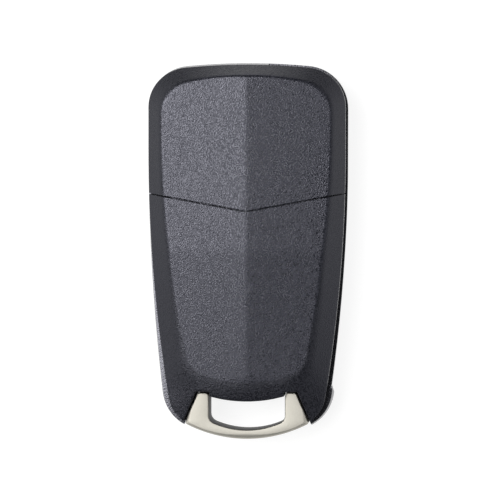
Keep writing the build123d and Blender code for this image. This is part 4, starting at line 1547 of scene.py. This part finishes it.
@dataclass
class BladeUnit:
    """Folded blade with its springs and release button.

    Places along the blade run down from the pivot: root is where its face starts, and the tip
    narrows over the length taper to tip_half. The middle of the groove's straight flanks stands
    groove_half from its middle line. ribs are centres and sizes of the button shaft's ribs.
    """

    fold: float = 3.5
    root: float = -3.8
    reach: float = 49.99
    left_x: float = -1.4
    right_x: float = 7.0
    low: float = 6.4
    high: float = 8.6
    edge: float = 0.18
    notch_y: float = -10.0
    notch_radius: float = 0.9
    taper: float = 3.0
    tip_half: float = 1.3
    groove_start: float = -13.0
    groove_short: float = 4.0
    groove_half: float = 1.3
    groove_flank: float = 0.3
    groove_depth: float = 0.55
    groove_shift: float = 0.65
    flip_spring: CoilSpring = CoilSpring(radius=5.35, wire=0.8, pitch=1.0, low=9.85, high=12.85)
    release_spring: CoilSpring = CoilSpring(radius=2.1, wire=0.5, pitch=1.1, low=8.45, high=12.25)
    button_radius: float = 4.8
    button_face: float = 0.25
    button_edge: float = 0.4
    dish_radius: float = 3.6
    dish_depth: float = 0.5
    flange_radius: float = 5.8
    flange_heights: Pair = (2.0, 2.8)
    flange_edge: float = 0.1
    shaft_radius: float = 2.6
    shaft_top: float = 8.4
    shaft_edge: float = 0.15
    ribs: tuple[tuple[Pair, Pair], ...] = (((-2.8, 0.0), (0.8, 1.0)), ((0.0, 2.8), (1.0, 0.8)))
    rib_corner: float = 0.1
    rib_heights: Pair = (2.75, 6.9)

    def build(self) -> None:
        """Builds and seats the blade, both springs and the release button."""
        seat(self.blade(), BLADE_NICKEL_SILVER, "blade", "blade_nickel", "key_blade")
        for node, body in (("flip_spring", "shell"), ("release_spring", "blade")):
            spring = getattr(self, node)
            coil = tube(f"{node}_coil", self.placed(spring.path()), spring.wire / 2)
            seat(coil, SPRING_WIRE, body, "spring_steel", node)
        seat(self.release_button(), RELEASE_ABS, "release", "release_black", "release_button")
        seat(self.release_ribs(), RELEASE_ABS, "release", "release_black")

    def placed(self, points: Array) -> Array:
        """Turns and moves points of the blade's own frame to its folded place.

        Args:
            points: the points.

        Returns:
            The points in the key's frame.
        """
        turn = math.radians(-self.fold)
        spin = np.array(((math.cos(turn), -math.sin(turn), 0.0), (math.sin(turn), math.cos(turn), 0.0),
                         (0.0, 0.0, 1.0)))
        return points @ spin.T + np.array((*PIVOT, 0.0))

    def blade(self) -> Piece:
        """Uncut blade.

        Its half width is constant, less a circular bite at the stop notch and a straight taper at
        the tip. Its faces are flat, less a rounded edge and a round-ended groove, whose depth
        follows the distance from the groove's middle line.

        Returns:
            The piece.
        """
        middle, half = (self.left_x + self.right_x) / 2, (self.right_x - self.left_x) / 2
        tip = -self.reach
        neck = tip + self.taper
        y = np.concatenate((np.linspace(self.root, neck, 240)[:-1], np.linspace(neck, tip, 24)))
        notch = np.sqrt(np.maximum(self.notch_radius**2 - (y - self.notch_y) ** 2, 0.0))
        narrow = np.clip((neck - y) / self.taper, 0.0, 1.0) * (half - self.tip_half)
        width = half - notch - narrow
        u = np.sin(np.linspace(-math.pi / 2, math.pi / 2, 61))
        x = middle + width[:, None] * u
        rim = np.minimum(width[:, None] * (1 - np.abs(u)), np.minimum(self.root - y, y - tip)[:, None])
        under = self.edge**2 - np.maximum(self.edge - rim, 0.0) ** 2
        fall = self.edge - np.sqrt(np.maximum(under, 0.0))
        along = np.clip(y, tip + self.groove_short + self.groove_half,
                        self.groove_start - self.groove_half)
        faces = []
        for side, level in ((1, self.high), (-1, self.low)):
            away = np.hypot(x - middle - side * self.groove_shift, (y - along)[:, None])
            share = (self.groove_half + self.groove_flank / 2 - away) / self.groove_flank
            z = level - side * (fall + self.groove_depth * np.clip(share, 0.0, 1.0))
            faces.append(np.stack((x, np.repeat(y[:, None], len(u), axis=1), z), axis=-1))
        ring = np.concatenate((faces[0], faces[1][:, ::-1]), axis=1)
        return bar("key_blade_blank", self.placed(ring), sharp=30.0)

    def release_button(self) -> Piece:
        """Push button with a dished face, a flange behind the housing's wall and a shaft.

        The dish is as deep as its depth times one less the square of the share of the way out.

        Returns:
            The piece.
        """
        face, step = self.button_face, self.flange_edge
        low, high = self.flange_heights
        profile = [(radius, face + self.dish_depth * (1 - (radius / self.dish_radius) ** 2))
                   for radius in np.linspace(0.0, self.dish_radius, 12)]
        profile += [(self.dish_radius + 0.1, face - 0.01), (self.dish_radius + 0.25, face)]
        profile += round_edge(self.button_radius, face, self.button_edge, 7)
        profile += [(self.button_radius, low), (self.flange_radius - step, low),
                    (self.flange_radius, low + step), (self.flange_radius, high - step),
                    (self.flange_radius - step, high), (self.shaft_radius, high),
                    (self.shaft_radius, self.shaft_top - self.shaft_edge),
                    (self.shaft_radius - self.shaft_edge, self.shaft_top), (0.0, self.shaft_top)]
        return revolve("release_button_cap", profile, PIVOT)

    def release_ribs(self) -> Piece:
        """Ribs of the button's shaft, which turn with the hub.

        Returns:
            The ribs as one piece.
        """
        ribs = []
        for centre, size in self.ribs:
            outline = rounded_box(centre, size, self.rib_corner)
            place = self.placed(lifted(outline, 0.0))[:, :2]
            ribs.append(prism("release_rib", place, self.rib_heights))
        return merged("release_button_ribs", ribs)


@dataclass(frozen=True)
class Padlock:
    """Raised plain padlock on a button's face, with a shackle of round wire, which the open one has
    lifted, with one foot higher. Sizes along the key count from the button's middle."""

    body_size: Pair = (3.0, 2.3)
    body_corner: float = 0.35
    body_y: float = -0.9
    body_heights: Pair = (0.26, 0.6)
    body_edge: float = 0.05
    bow_radius: float = 0.95
    bow_y: float = 0.9
    foot_y: float = -0.2
    open_foot_y: float = 0.4
    open_lift: float = 0.35
    wire: float = 0.16
    wire_z: float = 0.42

    def build(self, name: str, y: float, is_open: bool) -> list[Piece]:
        """Builds the padlock.

        Args:
            name: what its pieces' names start with.
            y: place of the button's middle along the key.
            is_open: whether its shackle is swung up.

        Returns:
            The body and the shackle.
        """
        outline = rounded_box((0.0, y + self.body_y), self.body_size, self.body_corner)
        turn = np.linspace(0.0, math.pi, 24)
        bow = np.column_stack((self.bow_radius * np.cos(turn),
                               self.bow_y + self.bow_radius * np.sin(turn)))
        first_y = self.open_foot_y if is_open else self.foot_y
        path = np.vstack(((self.bow_radius, first_y), bow, (-self.bow_radius, self.foot_y)))
        path += (0.0, y + self.open_lift * is_open)
        return [prism(f"{name}_body", outline, self.body_heights, self.body_edge),
                tube(f"{name}_shackle", lifted(path, self.wire_z), self.wire, sides=10)]


@dataclass
class Keypad:
    """Lock and unlock buttons of the front, each a cap with a flange and a plunger.

    Together they make an oval round centre_y, cut by a bar of twice near. Side 1 is the upper
    button and side -1 the lower one.
    """

    half_width: float = 8.85
    near: float = 1.25
    far: float = 10.85
    centre_y: float = -10.4
    wide_corner: float = 4.85
    small_corner: float = 0.85
    face: float = 0.25
    edge: float = 0.3
    dish: float = 0.22
    wall_inside: float = 1.7
    flange: float = 0.75
    flange_top: float = 2.5
    flange_edge: float = 0.1
    plunger_x: float = -2.5
    plunger_radius: float = 1.6
    plunger_top: float = 3.15
    plunger_edge: float = 0.15
    plunger_root: float = 0.2
    sign: Padlock = Padlock()

    def build(self) -> None:
        """Builds and seats both buttons with their plungers and signs."""
        for side, body in ((1, "unlock"), (-1, "lock")):
            node = f"{body}_button"
            seat(self.button(f"{node}_cap", side), BUTTON_ELASTOMER, body, "button_black", node)
            seat(self.stem(f"{node}_plunger", side), BUTTON_ELASTOMER, body, "button_black")
            for piece in self.sign.build(f"{node}_padlock", self.middle_y(side), side > 0):
                seat(piece, PRINT_INK, body, "button_black")

    def middle_y(self, side: int) -> float:
        """Place of a button's middle along the key."""
        return self.centre_y + side * (self.near + self.far) / 2

    def outline(self, side: int, grow: float) -> Array:
        """Plan outline of a button: wide corners away from the bar, and small ones beside it.

        Args:
            side: which button.
            grow: how far the outline is moved outwards.

        Returns:
            Points of the outline.
        """
        arcs = []
        for number, (sx, sy) in enumerate(QUARTERS):
            radius = (self.wide_corner if sy > 0 else self.small_corner) + grow
            middle_y = self.far + grow - radius if sy > 0 else self.near - grow + radius
            angle = quarter_turn(14) + number * math.pi / 2
            arcs.append(np.stack((sx * (self.half_width + grow - radius) + radius * np.cos(angle),
                                  middle_y + radius * np.sin(angle)), axis=1))
        points = np.vstack(arcs)
        if side < 0:
            points = points[::-1] * (1, -1)
        return points + (0.0, self.centre_y)

    def button(self, name: str, side: int) -> Piece:
        """One button as a closed piece of stacked outlines.

        The face is dished: it lies deeper by the dish times one less the square of the share of
        the way out. Its edge is a quarter circle, and above the wall the flange steps out.

        Args:
            name: name of the piece.
            side: which button.

        Returns:
            The piece.
        """
        middle = np.array((0.0, self.middle_y(side)))
        lip = self.outline(side, -self.edge)
        levels = [(middle + (lip - middle) * share, self.face + self.dish * (1 - share**2))
                  for share in np.linspace(0.0, 1.0, 14)]
        levels += [(self.outline(side, grow), z) for grow, z in (
            *round_edge(0.0, self.face, self.edge, 6)[1:],
            (0.0, self.wall_inside), (self.flange, self.wall_inside),
            (self.flange, self.flange_top - self.flange_edge),
            (self.flange - self.flange_edge, self.flange_top))]
        levels.append((np.tile(middle, (len(lip), 1)), self.flange_top))
        grid = np.stack([lifted(place, z) for place, z in levels])
        return mesh_from_grid(name, grid, wrap_columns=True, sharp=40.0)

    def stem(self, name: str, side: int) -> Piece:
        """Plunger on a button's inner face, over its switch."""
        radius, step, low = self.plunger_radius, self.plunger_edge, self.flange_top - self.plunger_root
        profile = [(0.0, low), (radius, low), (radius, self.plunger_top - step),
                   (radius - step, self.plunger_top), (0.0, self.plunger_top)]
        return revolve(name, profile, (self.plunger_x, self.middle_y(side)), sides=48)


@dataclass
class CoinCell:
    """Coin cell, cap down: a can, a cap, and a nylon ring in the groove between them."""

    can_radius: float = 10.0
    can_low: float = 9.25
    can_crimp: float = 0.3
    can_shoulder: float = 0.4
    top: float = 11.45
    top_rim: Pair = (9.2, 9.05)
    top_recess: float = 0.03
    cap_radius: float = 8.9
    cap_low: float = 8.95
    cap_edge: float = 0.2
    cap_face_radius: float = 8.4
    groove_radius: float = 9.1
    groove_top: float = 9.45
    step: float = 0.02

    def build(self) -> Piece:
        """Builds the cell as one turned profile, with its edges as quarter circles.

        Returns:
            The piece.
        """
        shoulder = [(radius, 2 * self.top - z)
                    for radius, z in round_edge(self.can_radius, self.top, self.can_shoulder)[::-1]]
        profile = [(0.0, self.cap_low + self.step), (self.cap_face_radius, self.cap_low + self.step),
                   *round_edge(self.cap_radius, self.cap_low, self.cap_edge),
                   (self.cap_radius, self.groove_top), (self.groove_radius, self.groove_top),
                   (self.groove_radius, self.can_low + self.step),
                   *round_edge(self.can_radius, self.can_low, self.can_crimp), *shoulder,
                   (self.top_rim[0], self.top), (self.top_rim[1], self.top - self.top_recess),
                   (0.0, self.top - self.top_recess)]
        piece = revolve("battery_cell_can", profile, CELL_PLACE, sides=144)
        x, y, z = face_values(piece, "center") / MM
        away = np.hypot(x - CELL_PLACE[0], y - CELL_PLACE[1])
        groove = ((away > self.cap_radius - self.step) & (away < self.groove_radius + self.step)
                  & (z < self.groove_top + 0.05))
        two_finishes(piece, CELL_NICKEL, SEAL_NYLON, groove)
        return piece


@dataclass
class WoundCoil:
    """Immobiliser coil: a ferrite bar with end plates, wound with fine wire between them.

    The real wire, of about 0.08 mm, is too fine to show and is drawn at 0.24 mm. winding and plate
    are half sizes across the board and upright.
    """

    place: Pair = (0.31, -23.6)
    height: float = 1.2
    half_length: float = 2.6
    wound_half: float = 1.94
    joint: float = 0.01
    wire: float = 0.24
    swell: float = 0.035
    winding: Pair = (1.3, 1.0)
    plate: Pair = (1.5, 1.2)
    corner_share: float = 0.78

    def build(self) -> Piece:
        """Builds the coil along X.

        Its section is a square with its corners cut, stretched to the half sizes. Between the
        plates it swells with the sine of the way over the wire's size.

        Returns:
            The piece.
        """
        inner = self.wound_half + self.joint
        x = np.concatenate((np.linspace(-self.half_length, -inner, 4),
                            np.linspace(-self.wound_half, self.wound_half, 130),
                            np.linspace(inner, self.half_length, 4)))
        border = self.wound_half + self.joint / 2
        wound = np.abs(x) < border
        swell = self.swell * np.abs(np.sin(math.pi * x / self.wire))
        half_y, half_z = (np.where(wound, core + swell, plate)[:, None]
                          for core, plate in zip(self.winding, self.plate))
        angle = full_turn(64)
        square = np.maximum(np.abs(np.cos(angle)), np.abs(np.sin(angle)))
        blunt = 1 / np.maximum(square, self.corner_share)
        ring = np.stack((np.repeat(x[:, None], len(angle), axis=1) + self.place[0],
                         self.place[1] + half_y * np.clip(np.cos(angle) * blunt, -1, 1),
                         BOARD_TOP + self.height + half_z * np.clip(np.sin(angle) * blunt, -1, 1)),
                        axis=-1)
        piece = bar("immobiliser_coil_winding", ring, sharp=40.0)
        centre_x = face_values(piece, "center")[0] / MM
        two_finishes(piece, FERRITE, COIL_WIRE, np.abs(centre_x - self.place[0]) < border)
        return piece


@dataclass
class BoardPrint:
    """Tinned pads and copper tracks on the board's upper face, sunk a little so that no slit shows.

    Tracks run from the chip's flanks, and their points count from its middle.
    """

    chip: Pair = (-5.39, -23.6)
    sunk: float = 0.05
    pad_edge: float = 0.02
    clip_angles: tuple[float, ...] = (60.0, 120.0, 240.0, 300.0)
    clip_radius: float = 10.8
    clip_pad: Pair = (1.5, 4.5)
    clip_corner: float = 0.3
    clip_tin: float = 0.04
    chip_reach: float = 2.6
    chip_row: float = 1.8
    chip_pad: Pair = (0.14, 0.42)
    chip_corner: float = 0.03
    chip_tin: float = 0.38
    track_width: float = 0.28
    track_rise: float = 0.03
    tracks: tuple[tuple[Pair, ...], ...] = (
        ((-2.7, 1.8), (-3.6, 2.7), (-6.6, 5.7), (-6.6, 8.0)),
        ((-2.7, 0.9), (-3.9, 2.1), (-7.3, 5.5), (-7.3, 9.2)),
        ((-1.8, 2.7), (-1.8, 3.6), (-4.6, 6.4)),
        ((0.0, 2.7), (0.0, 3.9), (1.0, 4.9)),
        ((1.8, 2.7), (2.6, 3.5), (7.2, 3.5), (8.2, 2.5), (8.2, 1.6)),
        ((0.9, 2.7), (2.3, 4.1), (8.9, 4.1), (9.6, 3.4), (9.6, 2.1)),
    )

    def build(self) -> None:
        """Builds and seats the tracks and both kinds of pads."""
        seat(self.track_ridges(), TRACK_RESIST, "shell", "board_green")
        seat(self.clip_pads(), REFLOWED_TIN, "shell", "can_steel")
        seat(self.chip_pads(), REFLOWED_TIN, "shell", "can_steel")

    def track_ridges(self) -> Piece:
        """Tracks under the resist, as low ridges."""
        return merged("board_tracks", [
            ribbon("track", np.array(path) + self.chip, self.track_width, BOARD_TOP - self.sunk,
                   BOARD_TOP + self.track_rise) for path in self.tracks])

    def clip_pads(self) -> Piece:
        """Pads under the clips' feet, at their angles round the cell.

        Returns:
            The pads as one piece.
        """
        pads = []
        for turn in map(math.radians, self.clip_angles):
            place = (CELL_PLACE[0] + self.clip_radius * math.cos(turn),
                     CELL_PLACE[1] + self.clip_radius * math.sin(turn))
            outline = rounded_box(place, self.clip_pad, self.clip_corner, turn)
            pads.append(prism("clip_pad", outline, (BOARD_TOP - self.sunk, BOARD_TOP + self.clip_tin),
                              self.pad_edge))
        return merged("clip_pads", pads)

    def chip_pads(self) -> Piece:
        """Tin on the chip's flanks, five to each.

        Returns:
            The tin as one piece.
        """
        pads = []
        for sx, sy in ((-1, 0), (1, 0), (0, -1), (0, 1)):
            for along in np.linspace(-self.chip_row, self.chip_row, 5):
                place = (self.chip[0] + sx * self.chip_reach + abs(sy) * along,
                         self.chip[1] + sy * self.chip_reach + abs(sx) * along)
                outline = rounded_box(place, self.chip_pad[::1 if sx else -1], self.chip_corner, steps=3)
                pads.append(prism("chip_pad", outline, (BOARD_TOP - self.sunk, BOARD_TOP + self.chip_tin),
                                  self.pad_edge))
        return merged("control_chip_pads", pads)


@dataclass
class PushSwitch:
    """Push switch under the board: its moulded base, steel cover with four rivets, and stem."""

    x: float = -2.5
    base_size: float = 5.2
    base_corner: float = 0.25
    base_heights: Pair = (5.2, 6.2)
    base_edge: float = 0.08
    cover_size: float = 5.0
    cover_corner: float = 0.2
    cover_heights: Pair = (5.0, 5.3)
    cover_edge: float = 0.05
    stem_profile: tuple[Pair, ...] = ((0.0, 4.5), (1.15, 4.5), (1.3, 4.62), (1.3, 5.05), (0.0, 5.05))
    rivet_reach: float = 1.85
    rivet_z: float = 5.01
    rivet_radius: float = 0.35
    rivet_height: float = 0.12

    def build(self, node: str, y: float) -> None:
        """Builds and seats one switch.

        Args:
            node: its CAD node.
            y: place of its middle along the key.
        """
        centre = (self.x, y)
        base = rounded_box(centre, (self.base_size,) * 2, self.base_corner)
        seat(prism(f"{node}_base", base, self.base_heights, self.base_edge), CHIP_EPOXY, "shell",
             "chip_black", node)
        cover = rounded_box(centre, (self.cover_size,) * 2, self.cover_corner)
        seat(prism(f"{node}_cover", cover, self.cover_heights, self.cover_edge), SWITCH_STEEL, "shell",
             "switch_steel")
        seat(revolve(f"{node}_stem", list(self.stem_profile), centre, sides=48), CHIP_EPOXY, "shell",
             "chip_black")
        rivets = [self.rivet((self.x + sx * self.rivet_reach, y + sy * self.rivet_reach))
                  for sx, sy in QUARTERS]
        seat(merged(f"{node}_rivets", rivets), SWITCH_STEEL, "shell", "switch_steel")

    def rivet(self, centre: Pair) -> Piece:
        """Low round head that hangs from the cover: a quarter of an ellipse, turned.

        Args:
            centre: place of its middle.

        Returns:
            The piece.
        """
        low = self.rivet_z - self.rivet_height
        dome = [(self.rivet_radius * math.cos(a), self.rivet_z - self.rivet_height * math.sin(a))
                for a in quarter_turn(5)[:-1]]
        return revolve("rivet", [(0.0, self.rivet_z), *dome, (0.0, low)], centre, sides=24)


@dataclass
class Electronics:
    """What stands on the board and under it: cell, coil, crystal, print and two switches.

    The crystal's can is a drawn stadium with a welded base flange, whose section is a list of
    insets and heights.
    """

    crystal: Pair = (4.21, -23.6)
    crystal_size: Pair = (1.6, 4.0)
    crystal_corner: float = 0.78
    crystal_section: tuple[Pair, ...] = ((0.0, 0.0), (0.0, 0.16), (0.03, 0.2), (0.14, 0.2), (0.14, 1.16),
                                          (0.18, 1.26), (0.28, 1.3))
    switches: tuple[tuple[str, float], ...] = (("unlock_switch", -4.35), ("lock_switch", -16.45))

    def build(self) -> None:
        """Builds and seats all of it."""
        seat(CoinCell().build(), CELL_NICKEL, "shell", "cell_steel", "battery_cell")
        seat(WoundCoil().build(), FERRITE, "shell", "ferrite", "immobiliser_coil")
        seat(self.can(), CAN_STEEL, "shell", "can_steel", "crystal")
        BoardPrint().build()
        for node, y in self.switches:
            PushSwitch().build(node, y)

    def can(self) -> Piece:
        """Crystal can, as stacked outlines.

        Returns:
            The piece.
        """
        width, length = self.crystal_size
        rows = []
        for inset, z in self.crystal_section:
            outline = rounded_box(self.crystal, (width - 2 * inset, length - 2 * inset),
                                  self.crystal_corner - inset)
            rows.append(lifted(outline, BOARD_TOP + z))
        return bar("crystal_can", np.stack(rows))


@dataclass
class HeadScrews:
    """The head cover's two pan-head screws, with cross recesses and rolled threads."""

    places: tuple[tuple[str, Pair], ...] = (("left_screw", (-13.0, 8.1)), ("right_screw", (3.56, 6.36)))
    head_radius: float = 1.8
    head_low: float = 9.6
    head_height: float = 1.1
    head_fall: float = 0.45
    recess_half: float = 0.2
    recess_flank: float = 0.06
    recess_reach: float = 1.05
    recess_fade: float = 0.35
    recess_depth: float = 0.6
    shank_radius: float = 0.95
    neck: float = 0.02
    thread_depth: float = 0.2
    pitch: float = 0.6
    tip: float = 5.1
    tip_length: float = 0.5
    tip_share: float = 0.3

    def build(self) -> None:
        """Builds and seats both screws."""
        left, right = (self.screw(name, place) for name, place in self.places)
        seat(left, SCREW_OXIDE, "shell", "screw_black", "head_cover_screws")
        seat(right, SCREW_OXIDE, "shell", "screw_black")

    def screw(self, name: str, place: Pair) -> Piece:
        """Builds one screw, upright in its boss.

        The head's height falls with the fourth power of the radius, less the recess: two arms
        across, whose depth fades with the distance from the middle. The shank's radius swings
        between root and crest with the height over the pitch less the turn.

        Args:
            name: name of the piece.
            place: place of its axis in plan.

        Returns:
            The piece.
        """
        turn = full_turn(96)
        cos, sin = np.cos(turn), np.sin(turn)
        top = self.head_low + self.head_height
        rows = []
        for radius in np.linspace(0.0, self.head_radius, 40):
            arm = np.minimum(np.abs(radius * cos), np.abs(radius * sin))
            across = np.clip((self.recess_half - arm) / self.recess_flank, 0.0, 1.0)
            fade = np.clip((self.recess_reach - radius) / self.recess_fade, 0.0, 1.0)
            fall = self.head_fall * (radius / self.head_radius) ** 4 + across * fade * self.recess_depth
            rows.append(np.column_stack((radius * cos, radius * sin, top - fall)))
        rows.append(np.column_stack((self.head_radius * cos, self.head_radius * sin,
                                     np.full_like(turn, self.head_low))))
        for z in np.linspace(self.head_low - self.neck, self.tip, 100):
            wave = (z - self.tip) / self.pitch - turn / (2 * math.pi)
            crest = np.abs((wave % 1.0) - 0.5) * 2
            taper = np.clip((z - self.tip) / self.tip_length, self.tip_share, 1.0)
            radius = (self.shank_radius - self.thread_depth * (1 - crest)) * taper
            rows.append(np.column_stack((radius * cos, radius * sin, np.full_like(turn, z))))
        rows.append(np.tile((0.0, 0.0, self.tip), (len(turn), 1)))
        return mesh_from_grid(name, np.stack(rows) + (*place, 0.0), wrap_columns=True)


@dataclass
class Studio:
    """Pale floor, a soft lamp from the upper left, and the camera over the key, tilted from straight
    above by two angles in degrees. The lamp's power is in watts."""

    distance: float = 1000.0
    target: Triple = (0.45, 0.1, 8.0)
    tilt_x: float = 2.5
    tilt_y: float = 1.2
    field_width: float = 100.0
    sensor: float = 36.0
    clip: Pair = (0.01, 10.0)
    even_light: float = 0.06
    side_light: float = 1.7
    side_power: float = 3.0
    lamp_place: Triple = (-200.0, 105.0, 560.0)
    lamp_size: float = 360.0
    lamp_watts: float = 3.85
    floor_half: float = 1500.0
    floor_z: float = -0.02
    floor_plain: str = "#e8e8e8"
    floor_faint: str = "#828282"
    floor_glow: str = "#efefef"

    def camera(self) -> None:
        """Adds the camera."""
        data = bpy.data.cameras.new("camera")
        data.sensor_width = self.sensor
        data.lens = self.sensor * self.distance / self.field_width
        data.clip_start, data.clip_end = self.clip
        camera = linked("camera", data)
        way = np.array((math.tan(math.radians(self.tilt_x)), math.tan(math.radians(self.tilt_y)), 1.0))
        way *= self.distance / np.linalg.norm(way)
        camera.location = (np.array(self.target) + way) * MM
        camera.rotation_euler = (math.atan2(-way[1], math.hypot(way[0], way[2])),
                                 math.atan2(way[0], way[2]), 0.0)
        bpy.context.scene.camera = camera

    def lamp(self) -> None:
        """Adds a square soft lamp that faces the key."""
        data = bpy.data.lights.new("key_lamp", "AREA")
        data.shape = "SQUARE"
        data.size = self.lamp_size * MM
        data.energy = self.lamp_watts
        lamp = linked("key_lamp", data)
        x, y, z = self.lamp_place
        lamp.location = np.array(self.lamp_place) * MM
        lamp.rotation_euler = (0.0, math.atan2(math.hypot(x, y), z), math.atan2(y, x))

    def world(self) -> None:
        """Soft light from all round, brighter towards two big diffusers at the key's sides.

        Its strength is the even part plus the side part times a power of how far a direction
        points to a side.
        """
        world = bpy.data.worlds.new("studio")
        world.use_nodes = True
        tree = world.node_tree
        background = tree.nodes["Background"]
        background.inputs["Color"].default_value = hex_to_linear("#ffffff")
        way = add_node(tree, "ShaderNodeTexCoord")
        parts = add_node(tree, "ShaderNodeSeparateXYZ", inputs={"Vector": way.outputs["Generated"]})
        size = add_node(tree, "ShaderNodeMath", {"operation": "ABSOLUTE"}, {"0": parts.outputs["X"]})
        side = add_node(tree, "ShaderNodeMath", {"operation": "POWER"}, {
            "0": size.outputs[0], "1": self.side_power})
        total = add_node(tree, "ShaderNodeMath", {"operation": "MULTIPLY_ADD"}, {
            "0": side.outputs[0], "1": self.side_light, "2": self.even_light})
        tree.links.new(total.outputs[0], background.inputs["Strength"])
        bpy.context.scene.world = world

    def floor(self) -> None:
        """Pale floor under the key, which the camera and shiny faces see as a bright studio floor."""
        ends = (-self.floor_half, self.floor_half)
        grid = np.stack(np.meshgrid(ends, ends, (self.floor_z,), indexing="ij"), axis=-1)
        floor = mesh_from_grid("floor", grid[:, :, 0, :])
        material = bpy.data.materials.new("pale_table")
        material.use_nodes = True
        tree = material.node_tree
        tree.nodes.clear()
        rays = add_node(tree, "ShaderNodeLightPath")
        seen = add_node(tree, "ShaderNodeMath", {"operation": "MAXIMUM"}, {
            "0": rays.outputs["Is Camera Ray"], "1": rays.outputs["Is Glossy Ray"]})
        clear = add_node(tree, "ShaderNodeMath", {"operation": "MAXIMUM"}, {
            "0": seen.outputs[0], "1": rays.outputs["Is Transmission Ray"]})
        plain = add_node(tree, "ShaderNodeBsdfDiffuse", inputs={"Color": hex_to_linear(self.floor_plain)})
        faint = add_node(tree, "ShaderNodeBsdfDiffuse", inputs={"Color": hex_to_linear(self.floor_faint)})
        glow = add_node(tree, "ShaderNodeEmission", inputs={
            "Color": hex_to_linear(self.floor_glow), "Strength": 1.0})
        white = add_node(tree, "ShaderNodeAddShader", inputs={
            "0": faint.outputs[0], "1": glow.outputs[0]})
        both = add_node(tree, "ShaderNodeMixShader", inputs={
            "0": clear.outputs[0], "1": plain.outputs[0], "2": white.outputs[0]})
        add_node(tree, "ShaderNodeOutputMaterial", inputs={"Surface": both.outputs[0]})
        floor.data.materials.append(material)

    def build(self) -> None:
        """Builds the camera, the light and the floor."""
        self.camera()
        self.world()
        self.lamp()
        self.floor()
        bpy.context.scene.view_settings.view_transform = "Standard"


def main() -> None:
    """Builds the key's pieces over the frame."""
    logging.basicConfig(level=logging.INFO, format="%(name)s: %(message)s")
    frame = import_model()
    nodes = frame["nodes"]
    Studio().build()

    BackCovers().build()
    HOUSING.build(nodes)
    KeyringBail().build()
    BladeUnit().build()
    Keypad().build()
    Electronics().build()
    HeadScrews().build()
    for copy in HIDDEN_COPIES:
        copy.build(nodes)


if __name__ == "__main__":
    main()
